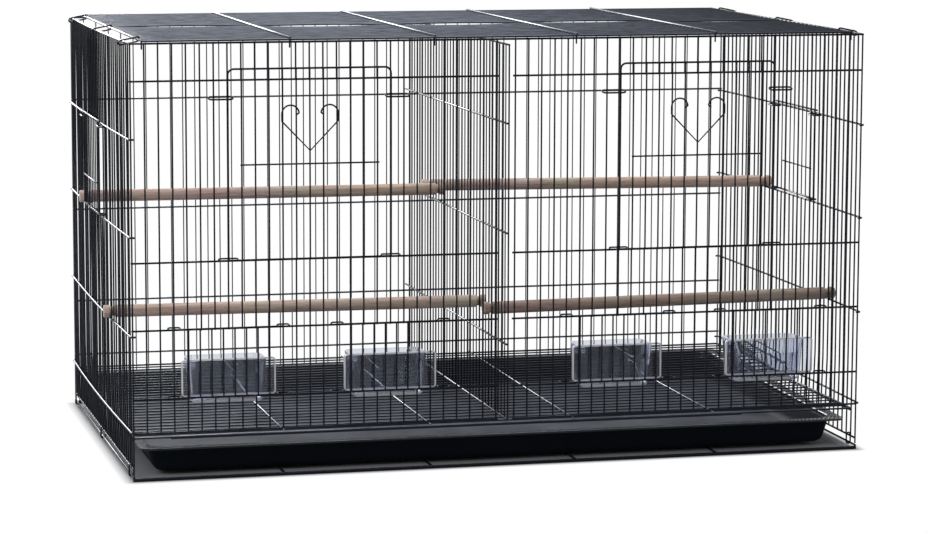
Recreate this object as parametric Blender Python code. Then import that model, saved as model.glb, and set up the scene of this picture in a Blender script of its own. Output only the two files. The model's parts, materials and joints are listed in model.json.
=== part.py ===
"""A wire bird cage with two compartments, sliding doors, seed cups, perches, a grate and a tray.

Metres, +Z up. The origin is at the middle of the base, on the surface that the cage stands on.
The front panel is at -Y. Every wire is square in section, so that wires meet on flat faces.
"""
import math

import bmesh
import bpy
from mathutils import Matrix, Vector

# Whole cage, between the middles of the wires of opposite panels
CAGE_WIDTH = 0.762
CAGE_DEPTH = 0.457
TOP_RAIL_Z = 0.436

# Wire
WIRE = 0.0017
RAIL = 0.0021
FRAME_BAR = 0.0035
GAP = 0.0003
WELD = 0.0014
WELD_BITE = 0.0006

# Pattern of the side panels, top and divider along the depth
DEPTH_STEPS = 35
DEPTH_PITCH = CAGE_DEPTH / DEPTH_STEPS

# Front panel
FIELD_STEPS = 27
DIVIDER_SLOT = 0.019
LINTEL_DROP = 0.0371
FRONT_RAILS_Z = (0.0484, 0.0824, 0.1513, 0.2190, TOP_RAIL_Z - LINTEL_DROP)
TRAY_RAIL, CUP_RAIL, FEEDER_RAIL, DOOR_RAIL, LINTEL_RAIL = FRONT_RAILS_Z
DOOR_STEPS = (7, 19)
FEEDER_REACH = 3
FEEDER_LOOP_REACH = 4

# Back panel
BACK_STEPS = 55
BACK_RAILS_Z = (0.0565, 0.1175, 0.2212, 0.3446)

# Side panels
SIDE_BOTTOM_Z = 0.0120
SIDE_RAILS_Z = (0.0495, 0.1460, 0.2450, 0.3420)
SIDE_LOW_RAIL, SIDE_PERCH_RAIL, NEST_SILL_RAIL, NEST_TOP_RAIL = SIDE_RAILS_Z
NEST_STEPS = (12, 21)
HOOK = 0.0045
GUIDE_TOP_Z = 0.0412

# Top and base panels
TOP_INSET = 0.012
CROSS_WIRES = 5
TOP_HOOK = 0.0060
CLIP_OVERHANG = 0.0040
TOP_CLIP_STEPS = (2, 17, 32)
BASE_CLIP_STEPS = (1, 17, 33)

# Divider
DIVIDER_OFFSET = 0.0030
DIVIDER_DROP = 0.0060
DIVIDER_TOP_Z = TOP_RAIL_Z - DIVIDER_DROP
DIVIDER_RAILS_Z = (0.1250, 0.2390, 0.3506)

# Large doors
DOOR_OVERLAP = 0.0111
DOOR_TOP_Z = LINTEL_RAIL + DOOR_OVERLAP
DOOR_CORNER = 0.0050
DOOR_CORNER_STEPS = 3
DOOR_SHORT_BAR_DROP = 0.0950
DOOR_SHORT_BAR_Z = DOOR_TOP_Z - DOOR_SHORT_BAR_DROP
DOOR_LOOP = 0.0210
DOOR_RING_DROP = 0.0174
DOOR_RING_Z = LINTEL_RAIL - DOOR_RING_DROP
DOOR_RING_LENGTH = 0.0260

# Heart on the large doors
HEART_HALF_WIDTH = 0.0285
HEART_DROP = 0.0365
HEART_LOBE_DEPTH = 0.0175
HEART_DEPTH = 0.0455
HEART_TOP_Z = DOOR_TOP_Z - HEART_DROP
HEART_LOBE_Z = HEART_TOP_Z - HEART_LOBE_DEPTH
HEART_TIP_Z = HEART_TOP_Z - HEART_DEPTH
HEART_CURL = 0.0110
HEART_HOOK = 0.0045
HEART_BITE = 0.0004
HEART_ARC_STEPS = 6

# Feeder doors
FEEDER_WIRES = 8
FEEDER_HALF_WIDTH = 0.0408
FEEDER_LOOP = 0.0138

# Nest doors
NEST_SHORT_BAR_Z = 0.2790
NEST_RING_LENGTH = 0.0240
NEST_LOOP = 0.0150

# Seed cups
CUP_TOP_Z = 0.1190
CUP_PLATE_WIDTH = 0.0950
CUP_WIDTH = 0.0790
CUP_DEPTH = 0.0420
CUP_BOTTOM_Z = 0.0750
CUP_WALL = 0.0018
CUP_DRAFT = 0.0040

# Perches
PERCH_DIAMETER = 0.0130
PERCH_GROOVE = 0.0098
PERCH_KNOB = 0.0060
PERCH_SLACK = 0.0010
PERCH_SIDES = 16
PERCH_PLACES = (
    ("left_perch_upper", -1, 24, 23, NEST_SILL_RAIL),
    ("left_perch_lower", -1, 10, 9, SIDE_PERCH_RAIL),
    ("right_perch_upper", 1, 23, 26, NEST_SILL_RAIL),
    ("right_perch_lower", 1, 7, 5, SIDE_PERCH_RAIL),
)

# Grate
GRATE_STEPS = 27
GRATE_FRONT = 0.0070
GRATE_BACK = 0.0080
GRATE_BAR_SHARES = (0.047, 0.839)

# Tray
TRAY_HEIGHT = 0.0274
TRAY_SIDE = 0.0080
TRAY_FRONT = 0.0080
TRAY_BACK = 0.0100
TRAY_FLANGE = 0.0085
TRAY_WALL = 0.0018
TRAY_DRAFT = 0.0100
TRAY_FILLET = 0.0025
TRAY_CORNER = 0.0100
TRAY_WALL_CORNER = 0.0180
TRAY_CORNER_STEPS = 4

# Colours, and the angle above which a moulded or turned edge stays sharp
COATING_COLOUR = (0.012, 0.013, 0.018)
TRAY_COLOUR = (0.010, 0.010, 0.013)
CUP_COLOUR = (0.86, 0.84, 0.95)
WOOD_COLOUR = (0.42, 0.30, 0.24)
SHARP_ANGLE = math.radians(35)

HALF_WIDTH = CAGE_WIDTH / 2
HALF_DEPTH = CAGE_DEPTH / 2
FRONT = -HALF_DEPTH
BACK = HALF_DEPTH
FIELD_WIDTH = (CAGE_WIDTH - DIVIDER_SLOT) / 2
FIELD_PITCH = FIELD_WIDTH / FIELD_STEPS
LAYER = WIRE / 2 + GAP + RAIL / 2
X_AXIS, Y_AXIS, Z_AXIS = Vector((1, 0, 0)), Vector((0, 1, 0)), Vector((0, 0, 1))


def clear_scene():
    for obj in list(bpy.data.objects):
        bpy.data.objects.remove(obj, do_unlink=True)


def material(name, colour, roughness, metallic=0.0, alpha=1.0):
    made = bpy.data.materials.new(name)
    made.use_nodes = True
    shader = made.node_tree.nodes["Principled BSDF"]
    shader.inputs["Base Color"].default_value = (*colour, 1.0)
    shader.inputs["Roughness"].default_value = roughness
    shader.inputs["Metallic"].default_value = metallic
    shader.inputs["Alpha"].default_value = alpha
    return made


def new_object(name, bm, look):
    mesh = bpy.data.meshes.new(name)
    bmesh.ops.recalc_face_normals(bm, faces=bm.faces)
    bm.to_mesh(mesh)
    bm.free()
    mesh.materials.append(look)
    obj = bpy.data.objects.new(name, mesh)
    bpy.context.scene.collection.objects.link(obj)
    return obj


def bar(start, end, thickness, normal):
    """A straight wire: its points, its thickness and the normal of a plane that holds it."""
    return [Vector(start), Vector(end)], thickness, normal


def add_wire(bm, points, thickness, normal, closed=False):
    """Sweeps a square along a flat path, with mitred bends."""
    points = [Vector(point) for point in points]
    count = len(points)
    rings = []
    for i, point in enumerate(points):
        before = point - points[i - 1] if closed or i else None
        after = points[(i + 1) % count] - point if closed or i < count - 1 else None
        before = (before or after).normalized()
        after = (after or before).normalized()
        along = (before + after).normalized()
        side = along.cross(normal).normalized()
        across = side * (thickness / 2 / along.dot(before))
        up = normal * (thickness / 2)
        corners = (across + up, across - up, -across - up, up - across)
        rings.append([bm.verts.new(point + corner) for corner in corners])
    pairs = list(zip(rings, rings[1:])) + ([(rings[-1], rings[0])] if closed else [])
    for one, two in pairs:
        for k in range(4):
            bm.faces.new((one[k], one[k - 1], two[k - 1], two[k]))
    if not closed:
        bm.faces.new(rings[0])
        bm.faces.new(rings[-1][::-1])


def wire_mesh(wires):
    bm = bmesh.new()
    for wire in wires:
        add_wire(bm, *wire)
    return bm


def welded(name, look, *layers):
    """One body from layers of wires. The wires within a layer don't touch each other."""
    obj = new_object(name, wire_mesh(layers[0]), look)
    for number, layer in enumerate(layers[1:], start=1):
        if not layer:
            continue
        other = new_object(f"{name}_layer_{number}", wire_mesh(layer), look)
        other.hide_render = True
        other.display_type = "WIRE"
        union = obj.modifiers.new(f"weld {number}", "BOOLEAN")
        union.operation = "UNION"
        union.solver = "EXACT"
        union.object = other
    return obj


def weld_at(point, direction, across):
    """A small weld block from the middle of one wire towards a wire in the next layer."""
    point, direction = Vector(point), Vector(direction)
    start = point + direction * (WIRE / 2 - WELD_BITE)
    return bar(start, start + direction * (WELD_BITE + GAP + WELD_BITE), WELD, across)


def depth_at(step):
    return FRONT + step * DEPTH_PITCH


def gap_at(step):
    """The middle of the gap after a wire of the depth pattern."""
    return depth_at(step) + DEPTH_PITCH / 2


def field_x(side, step):
    """Place of a front wire, counted from the outer corner of its field. The side is -1 or 1."""
    return side * (HALF_WIDTH - step * FIELD_PITCH)


def is_in_door(step):
    return DOOR_STEPS[0] < step < DOOR_STEPS[1]


def is_in_feeder(step):
    return any(abs(step - middle) < FEEDER_REACH for middle in DOOR_STEPS)


def upright_spans(step):
    """Lower and upper ends of the lengths of one front wire, and which of them end at a rail behind."""
    stops = [(TRAY_RAIL, False)]
    if is_in_feeder(step):
        stops += [(CUP_RAIL, True), (FEEDER_RAIL, True)]
    if is_in_door(step):
        stops += [(DOOR_RAIL, True), (LINTEL_RAIL, True)]
    stops.append((TOP_RAIL_Z, False))
    return list(zip(stops[0::2], stops[1::2]))


def make_front_panel(look):
    wires, rails, welds = [], [], []
    rail_y = FRONT + LAYER
    for side in (-1, 1):
        for step in range(FIELD_STEPS + 1):
            x = field_x(side, step)
            for (low, low_cut), (high, high_cut) in upright_spans(step):
                if step == 0:
                    low = post_foot_z()
                bottom = low - RAIL / 2 if low_cut else low
                top = high + RAIL / 2 if high_cut else high
                wires.append(bar((x, FRONT, bottom), (x, FRONT, top), WIRE, Y_AXIS))
                cut_ends = [z for z, is_cut in ((low, low_cut), (high, high_cut)) if is_cut]
                welds += [weld_at((x, FRONT, z), Y_AXIS, Z_AXIS) for z in cut_ends]
        edge, inner = field_x(side, 0), field_x(side, FIELD_STEPS)
        rails.append(bar((edge, FRONT, TRAY_RAIL), (inner, FRONT, TRAY_RAIL), RAIL, Y_AXIS))
        for z in FRONT_RAILS_Z[1:]:
            start, end = edge + side * RAIL / 2, inner - side * RAIL / 2
            rails.append(bar((start, rail_y, z), (end, rail_y, z), RAIL, Y_AXIS))
            welds += [weld_at((x, FRONT, z), Y_AXIS, Z_AXIS) for x in (edge, inner)]
    overhang = HALF_WIDTH + RAIL / 2
    rails.append(bar((-overhang, FRONT, TOP_RAIL_Z), (overhang, FRONT, TOP_RAIL_Z), RAIL, Y_AXIS))
    return welded("front_panel", look, wires, rails, welds)


def make_back_panel(look):
    wires, rails, welds = [], [], []
    pitch = CAGE_WIDTH / BACK_STEPS
    for step in range(BACK_STEPS + 1):
        x = -HALF_WIDTH + step * pitch
        foot = post_foot_z() if step in (0, BACK_STEPS) else SIDE_BOTTOM_Z
        wires.append(bar((x, BACK, foot), (x, BACK, TOP_RAIL_Z), WIRE, Y_AXIS))
    overhang = HALF_WIDTH + RAIL / 2
    for z in (SIDE_BOTTOM_Z, TOP_RAIL_Z):
        rails.append(bar((-overhang, BACK, z), (overhang, BACK, z), RAIL, Y_AXIS))
    for z in BACK_RAILS_Z:
        rails.append(bar((-overhang, BACK - LAYER, z), (overhang, BACK - LAYER, z), RAIL, Y_AXIS))
        welds += [weld_at((x, BACK, z), -Y_AXIS, Z_AXIS) for x in (-HALF_WIDTH, HALF_WIDTH)]
    return welded("back_panel", look, wires, rails, welds)


def make_side_panel(name, side, look):
    """The right panel is the left one turned half a turn, so its nest door is nearer the front."""
    wires, rails, welds = [], [], []
    x = side * HALF_WIDTH
    outward = X_AXIS * side
    rail_x = x + side * LAYER
    first, last = 1, DEPTH_STEPS - 1
    for step in range(first, last + 1):
        y = side * depth_at(step)
        opening = NEST_STEPS[0] < step < NEST_STEPS[1]
        if not opening:
            wires.append(bar((x, y, SIDE_BOTTOM_Z), (x, y, TOP_RAIL_Z), WIRE, X_AXIS))
            continue
        sill, lintel = NEST_SILL_RAIL + RAIL / 2, NEST_TOP_RAIL - RAIL / 2
        wires.append(bar((x, y, SIDE_BOTTOM_Z), (x, y, sill), WIRE, X_AXIS))
        wires.append(bar((x, y, lintel), (x, y, TOP_RAIL_Z), WIRE, X_AXIS))
        welds += [weld_at((x, y, z), outward, Z_AXIS) for z in (NEST_SILL_RAIL, NEST_TOP_RAIL)]
    end = HALF_DEPTH - RAIL / 2 - GAP
    for z in (SIDE_BOTTOM_Z, TOP_RAIL_Z):
        rails.append(bar((x, -end, z), (x, end, z), RAIL, X_AXIS))
    hook_y = HALF_DEPTH + WIRE / 2 + GAP + RAIL / 2
    hook_x = rail_x - side * HOOK
    guide_x = x - side * LAYER
    ends = [side * depth_at(step) for step in (first, last)]
    for z in SIDE_RAILS_Z:
        path = [(hook_x, -hook_y, z), (rail_x, -hook_y, z), (rail_x, hook_y, z), (hook_x, hook_y, z)]
        rails.append((path, RAIL, Z_AXIS))
        welds += [weld_at((x, y, z), outward, Z_AXIS) for y in ends]
    guide_z = GUIDE_TOP_Z - RAIL / 2
    rails.append(bar((guide_x, ends[0], guide_z), (guide_x, ends[1], guide_z), RAIL, X_AXIS))
    welds += [weld_at((x, y, guide_z), -outward, Z_AXIS) for y in ends]
    return welded(name, look, wires, rails, welds)


def cross_wire_places(half_width):
    """The places of the front-to-back wires of the top and base, ends included."""
    return [half_width * (2 * i / CROSS_WIRES - 1) for i in range(CROSS_WIRES + 1)]


def make_top_panel(look):
    wires, rails, welds = [], [], []
    end_x = HALF_WIDTH - TOP_INSET
    bottom = TOP_RAIL_Z + RAIL / 2 + GAP
    rail_z = bottom + RAIL / 2
    for step in range(1, DEPTH_STEPS):
        y = depth_at(step)
        wires.append(bar((-end_x, y, rail_z), (end_x, y, rail_z), WIRE, Y_AXIS))
    for y in (FRONT, BACK):
        wires.append(bar((-end_x, y, rail_z), (end_x, y, rail_z), RAIL, Y_AXIS))
    hook_y = FRONT + LAYER + GAP
    hook_z = TOP_RAIL_Z - TOP_HOOK
    upper_z = rail_z + RAIL + GAP
    for x in cross_wire_places(end_x):
        is_end = abs(x) > end_x - RAIL
        z = rail_z if is_end else upper_z
        rails.append(bar((x, FRONT - RAIL / 2, z), (x, BACK + RAIL / 2, z), RAIL, Z_AXIS))
        welds.append(bar((x, hook_y, hook_z), (x, hook_y, z), WIRE, Y_AXIS))
        if not is_end:
            welds += [bar((x, y, rail_z), (x, y, z), WELD, Y_AXIS) for y in (FRONT, BACK)]
    return welded("top_panel", look, wires, rails, welds)


def base_end_bottom_z():
    return FRAME_BAR + GAP


def post_foot_z():
    return base_end_bottom_z() + RAIL + GAP


def make_base_panel(look):
    """Front and back bars, an end wire welded on top at each side, and wires between them for the tray."""
    bars, rails, welds = [], [], []
    end_z = base_end_bottom_z() + RAIL / 2
    overhang = HALF_WIDTH + RAIL / 2
    for y in (FRONT, BACK):
        bars.append(bar((-overhang, y, FRAME_BAR / 2), (overhang, y, FRAME_BAR / 2), FRAME_BAR, Y_AXIS))
    places = cross_wire_places(HALF_WIDTH)
    for x in (places[0], places[-1]):
        rails.append(bar((x, FRONT - RAIL / 2, end_z), (x, BACK + RAIL / 2, end_z), RAIL, Z_AXIS))
        welds += [bar((x, y, FRAME_BAR / 2), (x, y, end_z), WELD, Y_AXIS) for y in (FRONT, BACK)]
    low_z = FRAME_BAR - (GAP + RAIL) / 2
    for x in places[1:-1]:
        rails.append(bar((x, FRONT, low_z), (x, BACK, low_z), RAIL, Z_AXIS))
    return welded("base_panel", look, bars, rails, welds)


def make_loop(name, look, low, high, plane, place):
    """A flat closed loop of wire round a clear space from low to high, in the two axes of its plane."""
    reach = WIRE / 2
    u0, v0, u1, v1 = low[0] - reach, low[1] - reach, high[0] + reach, high[1] + reach
    corners = [(u0, v0), (u1, v0), (u1, v1), (u0, v1)]
    if plane == "XZ":
        points, normal = [(u, place, v) for u, v in corners], Y_AXIS
    else:
        points, normal = [(u, v, place) for u, v in corners], Z_AXIS
    bm = bmesh.new()
    add_wire(bm, points, WIRE, normal, closed=True)
    return new_object(name, bm, look)


def make_clips(look):
    rail_room = RAIL / 2 + GAP
    for side, side_name in ((-1, "left"), (1, "right")):
        outer = side * (HALF_WIDTH + rail_room + CLIP_OVERHANG)
        inner = side * (HALF_WIDTH - TOP_INSET - rail_room)
        low, high = TOP_RAIL_Z - rail_room, TOP_RAIL_Z + RAIL + GAP + rail_room
        for place, step in zip(("front", "middle", "back"), TOP_CLIP_STEPS):
            corners = (min(outer, inner), low), (max(outer, inner), high)
            make_loop(f"top_clip_{side_name}_{place}", look, *corners, "XZ", gap_at(step))
        x = side * HALF_WIDTH
        low, high = base_end_bottom_z() - GAP, SIDE_BOTTOM_Z + rail_room
        for place, step in zip(("front", "middle", "back"), BASE_CLIP_STEPS):
            corners = (x - rail_room, low), (x + rail_room, high)
            make_loop(f"base_clip_{side_name}_{place}", look, *corners, "XZ", gap_at(step))


def grate_bottom_z():
    return GUIDE_TOP_Z + GAP


def grate_top_z():
    return grate_bottom_z() + RAIL + GAP + WIRE


def make_divider(look):
    wires, rails, welds = [], [], []
    x = DIVIDER_OFFSET
    bottom = grate_top_z() + GAP + RAIL / 2
    last = DEPTH_STEPS - 1
    for step in range(last + 1):
        wires.append(bar((x, depth_at(step), bottom), (x, depth_at(step), DIVIDER_TOP_Z), WIRE, X_AXIS))
    start, end = FRONT - WIRE / 2, BACK - WIRE / 2 - GAP
    for z in (bottom, DIVIDER_TOP_Z):
        rails.append(bar((x, start, z), (x, end, z), RAIL, X_AXIS))
    for z in DIVIDER_RAILS_Z:
        rails.append(bar((x + LAYER, start, z), (x + LAYER, end, z), RAIL, X_AXIS))
        welds += [weld_at((x, depth_at(step), z), X_AXIS, Z_AXIS) for step in (0, last)]
    return welded("divider", look, wires, rails, welds)


def heart_half(middle, y, side):
    """One half of the open heart, from its tip up round the lobe to the hooked end."""
    points = [(middle, y, HEART_TIP_Z), (middle + side * HEART_HALF_WIDTH, y, HEART_LOBE_Z)]
    radius = (HEART_HALF_WIDTH - HEART_CURL) / 2
    centre_x, centre_z = HEART_CURL + radius, HEART_TOP_Z - radius
    for i in range(HEART_ARC_STEPS + 1):
        angle = math.pi * i / HEART_ARC_STEPS
        out, up = radius * math.cos(angle), radius * math.sin(angle)
        points.append((middle + side * (centre_x + out), y, centre_z + up))
    points.append((middle + side * (HEART_CURL + HEART_HOOK), y, centre_z - HEART_HOOK))
    return points


def make_large_door(name, side, look):
    """Slides in front of the front panel. Its lower loops go round the wires beside the opening."""
    edges = sorted(field_x(side, step) for step in DOOR_STEPS)
    middle = sum(edges) / 2
    y = FRONT - LAYER
    low = DOOR_RAIL + RAIL + GAP
    corner = []
    for i in range(DOOR_CORNER_STEPS + 1):
        angle = math.pi / 2 * i / DOOR_CORNER_STEPS
        corner.append((DOOR_CORNER * (1 - math.cos(angle)), DOOR_CORNER * (math.sin(angle) - 1)))
    left = [(edges[0] + dx, y, DOOR_TOP_Z + dz) for dx, dz in corner]
    right = [(edges[1] - dx, y, DOOR_TOP_Z + dz) for dx, dz in reversed(corner)]
    frame = [(edges[0], y, low), *left, *right, (edges[1], y, low)]
    places = [field_x(side, step) for step in range(DOOR_STEPS[0] + 1, DOOR_STEPS[1])]
    wires = [bar((x, y, low), (x, y, DOOR_TOP_Z), WIRE, Y_AXIS) for x in places]
    back_y = FRONT + WIRE / 2 + GAP + WIRE / 2
    rails = [(frame, RAIL, Y_AXIS)]
    sill = bar((edges[0] - DOOR_LOOP / 2, y, low), (edges[1] + DOOR_LOOP / 2, y, low), RAIL, Y_AXIS)
    front_y = y - WIRE + HEART_BITE
    start, end = min(places) - WIRE, max(places) + WIRE
    short_bar = bar((start, front_y, DOOR_SHORT_BAR_Z), (end, front_y, DOOR_SHORT_BAR_Z), WIRE, Y_AXIS)
    heart = heart_half(middle, front_y, -1)[::-1] + heart_half(middle, front_y, 1)[1:]
    loops = []
    for edge in edges:
        a, b = edge - DOOR_LOOP / 2 + WIRE / 2, edge + DOOR_LOOP / 2 - WIRE / 2
        loops.append(([(a, y, low), (a, back_y, low), (b, back_y, low), (b, y, low)], WIRE, Z_AXIS))
    return welded(name, look, wires, rails, [sill], [short_bar, (heart, WIRE, Y_AXIS)], loops)


def make_door_rings(name, side, look):
    """Fixed rings round a door's side wire and the two front wires beside and behind it."""
    room = WIRE / 2 + GAP
    low_y, high_y = FRONT - LAYER - RAIL / 2 - GAP, FRONT + room
    for place, step, out in (("outer", DOOR_STEPS[0], -1), ("inner", DOOR_STEPS[1], 1)):
        middle = (field_x(side, step) + field_x(side, step + out)) / 2
        half = DOOR_RING_LENGTH / 2 - WIRE
        corners = (middle - half, low_y), (middle + half, high_y)
        make_loop(f"{name}_{place}", look, *corners, "XY", DOOR_RING_Z)


def make_feeder_door(name, middle, look):
    y = FRONT - LAYER
    back_y = FRONT + WIRE / 2 + GAP + WIRE / 2
    rest = RAIL + GAP
    heights = [CUP_RAIL + rest, FEEDER_RAIL + rest]
    wires = []
    for i in range(FEEDER_WIRES):
        x = middle + FEEDER_HALF_WIDTH * (2 * i / (FEEDER_WIRES - 1) - 1)
        wires.append(bar((x, y, heights[0]), (x, y, heights[1]), WIRE, Y_AXIS))
    rods, loops = [], []
    reach = FEEDER_LOOP_REACH * FIELD_PITCH
    for z in heights:
        outer, inner = reach + FEEDER_LOOP / 2, reach - FEEDER_LOOP / 2
        rods.append(bar((middle - outer, y, z), (middle + outer, y, z), RAIL, Y_AXIS))
        for side in (-1, 1):
            a, b = middle + side * (inner + WIRE / 2), middle + side * (outer - WIRE / 2)
            loops.append(([(a, y, z), (a, back_y, z), (b, back_y, z), (b, y, z)], WIRE, Z_AXIS))
    return welded(name, look, wires, rods, loops)


def nest_plane(side):
    return side * (HALF_WIDTH + LAYER + RAIL + GAP)


def nest_edges(side):
    return sorted(side * depth_at(step) for step in NEST_STEPS)


def make_nest_door(name, side, look):
    x = nest_plane(side)
    edges = nest_edges(side)
    low = NEST_SILL_RAIL + RAIL + GAP
    high = NEST_TOP_RAIL + RAIL + GAP
    inside_x = side * (HALF_WIDTH - WIRE / 2 - GAP - WIRE / 2)
    places = [side * depth_at(step) for step in range(NEST_STEPS[0], NEST_STEPS[1] + 1)]
    wires = [bar((x, y, low), (x, y, high), WIRE, X_AXIS) for y in places]
    start, end = edges[0] - NEST_LOOP / 2, edges[1] + NEST_LOOP / 2
    rails = [bar((x, start, z), (x, end, z), RAIL, X_AXIS) for z in (low, high)]
    loops = []
    for edge in edges:
        a, b = edge - NEST_LOOP / 2 + WIRE / 2, edge + NEST_LOOP / 2 - WIRE / 2
        path = [(x, a, low), (inside_x, a, low), (inside_x, b, low), (x, b, low)]
        loops.append((path, WIRE, Z_AXIS))
    front_x = x + side * (WIRE - HEART_BITE)
    start, end = edges[0] + DEPTH_PITCH, edges[1] - DEPTH_PITCH
    short_bar = bar((front_x, start, NEST_SHORT_BAR_Z), (front_x, end, NEST_SHORT_BAR_Z), WIRE, X_AXIS)
    return welded(name, look, wires, rails, loops, [short_bar])


def make_nest_rings(name, side, look):
    """Fixed rings just under the rail over the opening, round the door's edge wire and the panel's."""
    room = RAIL / 2 + GAP
    xs = sorted((nest_plane(side) + side * room, side * (HALF_WIDTH - room)))
    z = NEST_TOP_RAIL - RAIL / 2 - GAP - WIRE / 2
    for place, edge, out in zip(("front", "back"), nest_edges(side), (-1, 1)):
        middle = edge + out * DEPTH_PITCH / 2
        half = NEST_RING_LENGTH / 2 - WIRE
        make_loop(f"{name}_{place}", look, (xs[0], middle - half), (xs[1], middle + half), "XY", z)


def box(bm, low, high):
    low, high = Vector(low), Vector(high)
    made = bmesh.ops.create_cube(bm, size=1)["verts"]
    bmesh.ops.scale(bm, vec=high - low, verts=made)
    bmesh.ops.translate(bm, vec=(low + high) / 2, verts=made)
    return made


def tapered_box(bm, low, high, draft):
    """A box whose lower face is smaller by the draft on each side."""
    for vert in box(bm, low, high):
        if vert.co.z < (low[2] + high[2]) / 2:
            vert.co.x += draft if vert.co.x < (low[0] + high[0]) / 2 else -draft
            vert.co.y -= draft if vert.co.y > (low[1] + high[1]) / 2 else 0


def make_cup(name, middle, look):
    """A clear cup behind the feeder opening: its front plate stands on the rail below the opening."""
    rail_front, rail_back = FRONT + WIRE / 2 + GAP, FRONT + LAYER + RAIL / 2 + GAP
    half = CUP_WIDTH / 2
    cup_back = rail_back + CUP_DEPTH
    body = bmesh.new()
    foot = (middle - half, rail_back, CUP_BOTTOM_Z)
    tapered_box(body, foot, (middle + half, cup_back, CUP_TOP_Z), CUP_DRAFT)
    cup = new_object(name, body, look)
    plate = bmesh.new()
    plate_low = (middle - CUP_PLATE_WIDTH / 2, rail_front, CUP_RAIL + RAIL / 2 + GAP)
    box(plate, plate_low, (middle + CUP_PLATE_WIDTH / 2, rail_back + CUP_WALL / 2, CUP_TOP_Z + CUP_WALL))
    hollow = bmesh.new()
    inner = half - CUP_WALL
    floor = (middle - inner, rail_back + CUP_WALL, CUP_BOTTOM_Z + CUP_WALL)
    tapered_box(hollow, floor, (middle + inner, cup_back - CUP_WALL, CUP_TOP_Z + CUP_WALL), CUP_DRAFT)
    for kind, bm, operation in (("plate", plate, "UNION"), ("hollow", hollow, "DIFFERENCE")):
        other = new_object(f"{name}_{kind}", bm, look)
        other.hide_render = True
        other.display_type = "WIRE"
        cut = cup.modifiers.new(kind, "BOOLEAN")
        cut.operation = operation
        cut.solver = "EXACT"
        cut.object = other
    return cup


def make_perch(name, side, side_step, divider_step, rail_z, look):
    """A dowel from the side panel to the divider, with a groove where each panel's wires pass."""
    z = rail_z + RAIL / 2 + GAP + PERCH_GROOVE / 2
    side_x, divider_x = side * HALF_WIDTH, DIVIDER_OFFSET
    start = Vector((side_x, gap_at(side_step), z))
    end = Vector((divider_x, gap_at(divider_step), z))
    along = (end - start).normalized()
    length = (end - start).length
    radius, groove = PERCH_DIAMETER / 2, PERCH_GROOVE / 2
    side_out = WIRE / 2 + GAP + RAIL + PERCH_SLACK
    wires_out = WIRE / 2 + PERCH_SLACK
    grooves = ((-side_out, wires_out), (length - wires_out, length + wires_out))
    stations = [(grooves[0][0] - PERCH_KNOB, radius)]
    for low, high in grooves:
        stations += [(low, radius), (low, groove), (high, groove), (high, radius)]
    stations.append((grooves[1][1] + PERCH_KNOB, radius))
    bm = bmesh.new()
    turn = along.to_track_quat("Z", "Y").to_matrix().to_4x4()
    rings = []
    for place, r in stations:
        spot = Matrix.Translation(start + along * place) @ turn
        made = bmesh.ops.create_circle(bm, radius=r, segments=PERCH_SIDES, matrix=spot)
        rings.append(made["verts"])
    for one, two in zip(rings, rings[1:]):
        for k in range(PERCH_SIDES):
            bm.faces.new((one[k - 1], one[k], two[k], two[k - 1]))
    bm.faces.new(rings[0])
    bm.faces.new(rings[-1])
    obj = new_object(name, bm, look)
    obj.data.shade_smooth()
    obj.data.set_sharp_from_angle(angle=SHARP_ANGLE)
    return obj


def make_grate(look):
    wires, rails, welds = [], [], []
    rail_z = grate_bottom_z() + RAIL / 2
    half = HALF_WIDTH - WIRE / 2 - 2 * GAP - RAIL / 2
    front, back = FRONT + GRATE_FRONT, BACK - GRATE_BACK
    pitch = (back - front) / GRATE_STEPS
    for step in range(1, GRATE_STEPS):
        y = front + step * pitch
        wires.append(bar((-half, y, rail_z), (half, y, rail_z), WIRE, Y_AXIS))
    for y in (front, back):
        wires.append(bar((-half, y, rail_z), (half, y, rail_z), RAIL, Y_AXIS))
    upper_z = rail_z + RAIL / 2 + GAP + WIRE / 2
    for x in cross_wire_places(half):
        is_end = abs(x) > half - RAIL
        z, size = (rail_z, RAIL) if is_end else (upper_z, WIRE)
        rails.append(bar((x, front - RAIL / 2, z), (x, back + RAIL / 2, z), size, Z_AXIS))
        if not is_end:
            welds += [bar((x, y, rail_z), (x, y, z), WELD, Y_AXIS) for y in (front, back)]
    bar_y = front - RAIL / 2 - FRAME_BAR / 2 + WELD_BITE
    start, end = (-half + share * 2 * half for share in GRATE_BAR_SHARES)
    thick = bar((start, bar_y, rail_z), (end, bar_y, rail_z), FRAME_BAR, Y_AXIS)
    return welded("grate", look, wires, rails, welds, [thick])


def rounded_loop(bm, half_x, low_y, high_y, radius, z):
    """A ring of points round a rectangle with round corners."""
    verts = []
    right, left = half_x - radius, radius - half_x
    front, back = low_y + radius, high_y - radius
    for quarter, (x, y) in enumerate(((right, back), (left, back), (left, front), (right, front))):
        for i in range(TRAY_CORNER_STEPS + 1):
            angle = math.pi / 2 * (quarter + i / TRAY_CORNER_STEPS)
            spot = (x + radius * math.cos(angle), y + radius * math.sin(angle), z)
            verts.append(bm.verts.new(spot))
    return verts


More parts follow.
